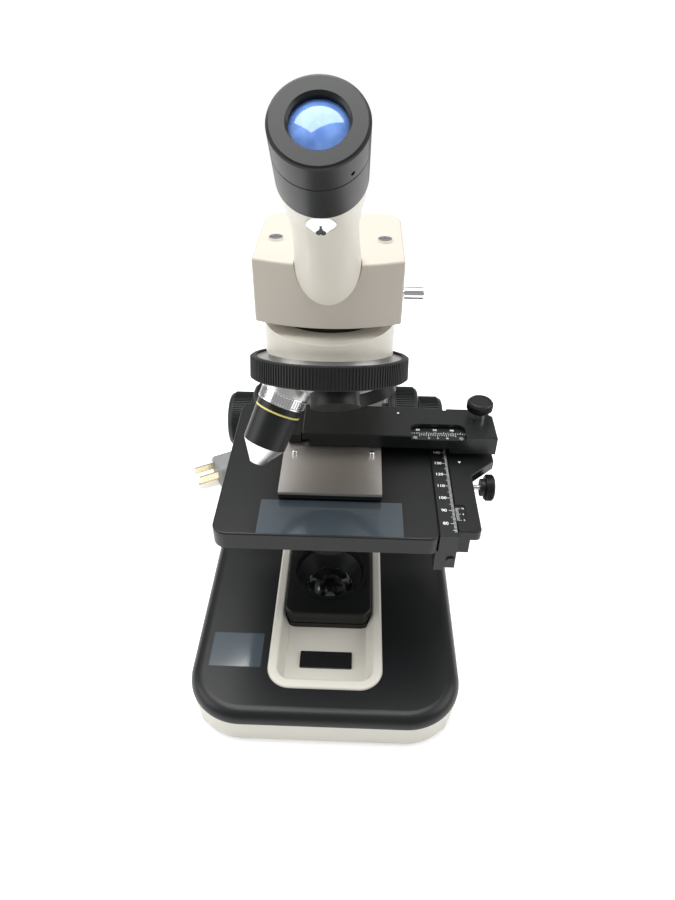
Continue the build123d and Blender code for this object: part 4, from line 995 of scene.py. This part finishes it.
@dataclass
class MainsCord:
    """The mains lead from the gland through its coil to the plug."""

    radius: float = 3.5
    centre: tuple[float, float] = (5.0, 224.0)
    coil_r: float = 40.0
    lie_z: float = 11.0
    pack: float = 7.35
    turns: float = 6.5
    per_turn: int = 24
    first_shift: float = 0.52
    shift_part: float = 0.075
    corner_cut: float = 0.99
    run_points: int = 4
    lead: tuple[Point, ...] = ((45.0, 137.0, 11.0), (45.0, 152.0, 11.0), (46.5, 168.0, 10.2),
                               (49.8, 188.0, 8.4), (51.3, 206.0, 7.6))
    tail: tuple[Point, ...] = ((-41.1, 206.0, 14.0), (-39.6, 190.0, 12.2), (-37.2, 174.0, 11.2),
                               (-43.5, 157.5, 11.0), (-57.0, 149.0, 11.0), (-69.0, 142.0, 11.0))

    def _slots(self) -> list[tuple[float, float]]:
        """Where each turn lies in the coil's section, as offsets outwards and upwards."""
        angles = (-30, -90, -150, 150, None, 90, 30)
        return [(0.0, 0.0) if angle is None else
                (self.pack * math.cos(math.radians(angle)), self.pack * math.sin(math.radians(angle)))
                for angle in angles]

    def _coil(self) -> list[Point]:
        """Lists the coil's points in bench millimetres."""
        x0, y0 = self.centre
        slots = self._slots()
        last = len(slots) - 1
        points = []
        for index in range(int(self.turns * self.per_turn) + 1):
            angle = 2 * math.pi * index / self.per_turn
            lap, part = divmod(index / self.per_turn, 1.0)
            slot = int(lap)
            # A turn shifts to its next place in the half of the coil nearer the stand, the last turns first
            start = self.first_shift + self.shift_part * (last - 1 - slot)
            move = min(max((part - start) / self.shift_part, 0.0), 1.0) if slot < last else 0.0
            here, there = slots[slot], slots[min(slot + 1, last)]
            out = here[0] + (there[0] - here[0]) * move
            up = here[1] + (there[1] - here[1]) * move
            r = self.coil_r + out
            points.append((x0 + r * math.cos(angle), y0 + r * math.sin(angle), self.lie_z + up))
        return points

    def route(self) -> list[Vector]:
        """Lists the cord's control points.

        Returns:
            The points in the row frame.
        """
        return [BENCH.at(*point) for point in (*self.lead, *self._coil(), *self.tail)]

    def build(self) -> None:
        points = self.route()
        curve = bpy.data.curves.new("mains_cord", "CURVE")
        curve.dimensions = "3D"
        spline = curve.splines.new("NURBS")
        spline.points.add(len(points) - 1)
        for knot, point in zip(spline.points, points):
            knot.co = (*point, 1.0)
        spline.order_u = 3
        spline.use_endpoint_u = True
        curve.resolution_u = self.run_points
        curve.bevel_depth = self.radius * MM
        curve.bevel_resolution = self.run_points
        curve.use_fill_caps = True
        cord = bpy.data.objects.new("mains_cord", curve)
        bpy.context.scene.collection.objects.link(cord)
        VINYL.paint(cord)
        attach(cord, "stand")
        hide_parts("cord_lead", "cord_coil", "cord_tail")


@dataclass
class Studio:
    """The pale floor, the soft lamps and the photograph's camera."""

    eye: Point = (12.2, -301.8, 372.8)
    forward: Point = (-0.0212, 0.7864, -0.6174)
    right: Point = (0.9994, 0.0338, 0.0086)
    lens: float = 35.595
    sensor: float = 36.0
    near: float = 0.01
    far: float = 20
    floor_half: float = 0.85
    floor_drop: float = 0.0004
    cloth: float = 0.80
    glow: float = 0.42
    tent_light: float = 0.38
    tent_seen: float = 0.62
    target: Point = (0, 0, 120)

    def camera(self) -> None:
        """Sets the camera where the photograph was taken."""
        data = bpy.data.cameras.new("photo camera")
        data.lens = self.lens
        data.sensor_width = self.sensor
        data.sensor_fit = "HORIZONTAL"
        data.clip_start = self.near
        data.clip_end = self.far
        eye = bpy.data.objects.new("photo camera", data)
        bpy.context.scene.collection.objects.link(eye)
        f = Vector(self.forward).normalized()
        r = (Vector(self.right) - f * Vector(self.right).dot(f)).normalized()
        u = r.cross(f)
        pose = Matrix((r, u, -f)).transposed().to_4x4()
        pose.translation = BENCH.at(*self.eye)
        eye.matrix_world = pose
        bpy.context.scene.camera = eye

    def _seen(self, tree: bpy.types.NodeTree, other: str) -> bpy.types.NodeSocket:
        """Gives a mask for what the camera sees, by itself or by one other kind of ray.

        Args:
            tree: The node tree that uses the mask.
            other: The Light Path output of the other kind.

        Returns:
            The mask's socket, 1 where it is seen.
        """
        path = tree.nodes.new("ShaderNodeLightPath")
        seen = tree.nodes.new("ShaderNodeMath")
        seen.operation = "MAXIMUM"
        tree.links.new(path.outputs["Is Camera Ray"], seen.inputs[0])
        tree.links.new(path.outputs[other], seen.inputs[1])
        return seen.outputs[0]

    def backdrop(self) -> None:
        """Builds the floor, which glows only for the camera and for mirrors."""
        bm = bmesh.new()
        made = bmesh.ops.create_grid(bm, x_segments=1, y_segments=1, size=self.floor_half)
        bmesh.ops.translate(bm, vec=(0, 0, -self.floor_drop), verts=made["verts"])
        floor = finish_mesh("floor", bm)
        mat = bpy.data.materials.new("pale floor")
        mat.use_nodes = True
        nodes, links = mat.node_tree.nodes, mat.node_tree.links
        out = nodes["Material Output"]
        nodes.remove(nodes["Principled BSDF"])
        cloth = nodes.new("ShaderNodeBsdfDiffuse")
        cloth.inputs["Color"].default_value = (self.cloth, self.cloth, self.cloth, 1)
        glow = nodes.new("ShaderNodeEmission")
        glow.inputs["Color"].default_value = (1, 1, 1, 1)
        glow.inputs["Strength"].default_value = self.glow
        both = nodes.new("ShaderNodeAddShader")
        mix = nodes.new("ShaderNodeMixShader")
        links.new(cloth.outputs[0], both.inputs[0])
        links.new(glow.outputs[0], both.inputs[1])
        links.new(self._seen(mat.node_tree, "Is Glossy Ray"), mix.inputs[0])
        links.new(cloth.outputs[0], mix.inputs[1])
        links.new(both.outputs[0], mix.inputs[2])
        links.new(mix.outputs[0], out.inputs["Surface"])
        floor.data.materials.append(mat)
        floor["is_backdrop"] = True

    def world(self) -> None:
        """Sets an even surround, white to the camera and dimmer as a light."""
        world = bpy.data.worlds.new("light tent")
        world.use_nodes = True
        nodes, links = world.node_tree.nodes, world.node_tree.links
        back = nodes["Background"]
        back.inputs["Color"].default_value = (1, 1, 1, 1)
        level = nodes.new("ShaderNodeMath")
        level.operation = "MULTIPLY_ADD"
        level.inputs[1].default_value = self.tent_seen
        level.inputs[2].default_value = self.tent_light
        links.new(self._seen(world.node_tree, "Is Transmission Ray"), level.inputs[0])
        links.new(level.outputs[0], back.inputs["Strength"])
        bpy.context.scene.world = world

    def lamp(self, name: str, place: Point, size: float, power: float) -> None:
        """Adds one soft lamp that faces the instrument.

        Args:
            name: The lamp's name.
            place: Where it hangs, in bench millimetres.
            size: The side of its square in metres.
            power: Its power in watts.
        """
        data = bpy.data.lights.new(name, "AREA")
        data.shape = "SQUARE"
        data.size = size
        data.energy = power
        lamp = bpy.data.objects.new(name, data)
        bpy.context.scene.collection.objects.link(lamp)
        here, there = BENCH.at(*place), BENCH.at(*self.target)
        turn = (there - here).to_track_quat("-Z", "Y").to_matrix().to_4x4()
        lamp.matrix_world = Matrix.Translation(here) @ turn

    def build(self) -> None:
        """Builds the studio."""
        self.camera()
        self.backdrop()
        self.world()
        self.lamp("top softbox", (-100, 150, 1100), 0.9, 15.0)
        self.lamp("left softbox", (-950, -250, 600), 0.8, 5.0)
        self.lamp("right softbox", (950, -100, 650), 0.8, 5.0)
        bpy.context.scene.view_settings.view_transform = "Standard"
        log.info("studio")


@dataclass
class CadFinishes:
    """The finishes of the nodes that keep their CAD shape."""

    frame: dict

    def build(self) -> None:
        """Paints every node that stays visible."""
        plan: tuple[tuple[Finish, tuple[str, ...]], ...] = (
            (CREAM_MOULDED, ("base_skirt", "illuminator_bezel")),
            (CREAM, ("arm_casting", "eyepiece_tube")),
            # The housing gets the darker copy of the cream paint: painted shade on its front faces.
            (SHADED_HOUSING, ("prism_housing",)),
            # head_collar is a black ring in the gap under the prism housing, where there is only shade:
            # painted shade. The base_cover black is its own colour.
            (DECK, ("base_cover", "head_collar")),
            (STEEL, ("bottom_plate", "coarse_slide", "y_shaft", "nosepiece_mount")),
            (FOOT, ("rubber_feet",)),
            (BADGE, ("badge_plate",)),
            (ANODISED, ("filter_collar", "stage_bracket", "stage_plate", "condenser_holder", "condenser_body",
                        "iris_lever", "y_carriage", "x_guide", "objective_barrel")),
            (COVER, ("x_cover",)),
            (SCALE, ("y_rail", "x_slider", "x_vernier")),
            (CHROME, ("x_shaft", "head_pin", "eyepiece_clamp", "housing_screws", "vernier_screws",
                      "specimen_pins")),
            (SILVER, ("nosepiece_disc",)),
            (TURNED, ("objective_nose",)),
            (PLATE, ("specimen_plate",)),
            (MOULDED, ("brightness_dial", "power_switch", "port_plugs")),
            (EYEPIECE, ("eyepiece_body", "eyecup")),
            (GLASS, ("field_lens", "lamp_bulb", "prism", "reticle")),
            (IRON, ("transformer",)),
            (CERAMIC, ("lamp_socket",)),
            (VINYL, ("cord_gland",)),
            (PLUG, ("power_plug",)),
            (BLADE, ("plug_blades",)),
        )
        for finish, names in plan:
            finish.paint_nodes(self.frame, *names)
        self.frame["nodes"]["eye_lens"].data.materials[0] = CoatedGlass().material()
        log.info("CAD nodes painted: %d", len(self.frame["nodes"]))


def main() -> list[list[float]]:
    """Builds the whole dressed instrument.

    Returns:
        The CAD box as plain lists, lowest corner first.
    """
    logging.basicConfig(level=logging.INFO, format="%(name)s: %(message)s")
    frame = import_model()
    cad = [list(corner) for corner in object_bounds()]
    BENCH.settle()
    Studio().build()
    MainsCord().build()
    CadFinishes(frame).build()
    FocusKnobs().build()
    Nosepiece().build()
    StageKnobs().build()
    StageScales().build()
    Films().build()
    return cad


if __name__ == "__main__":
    cad_box = main()
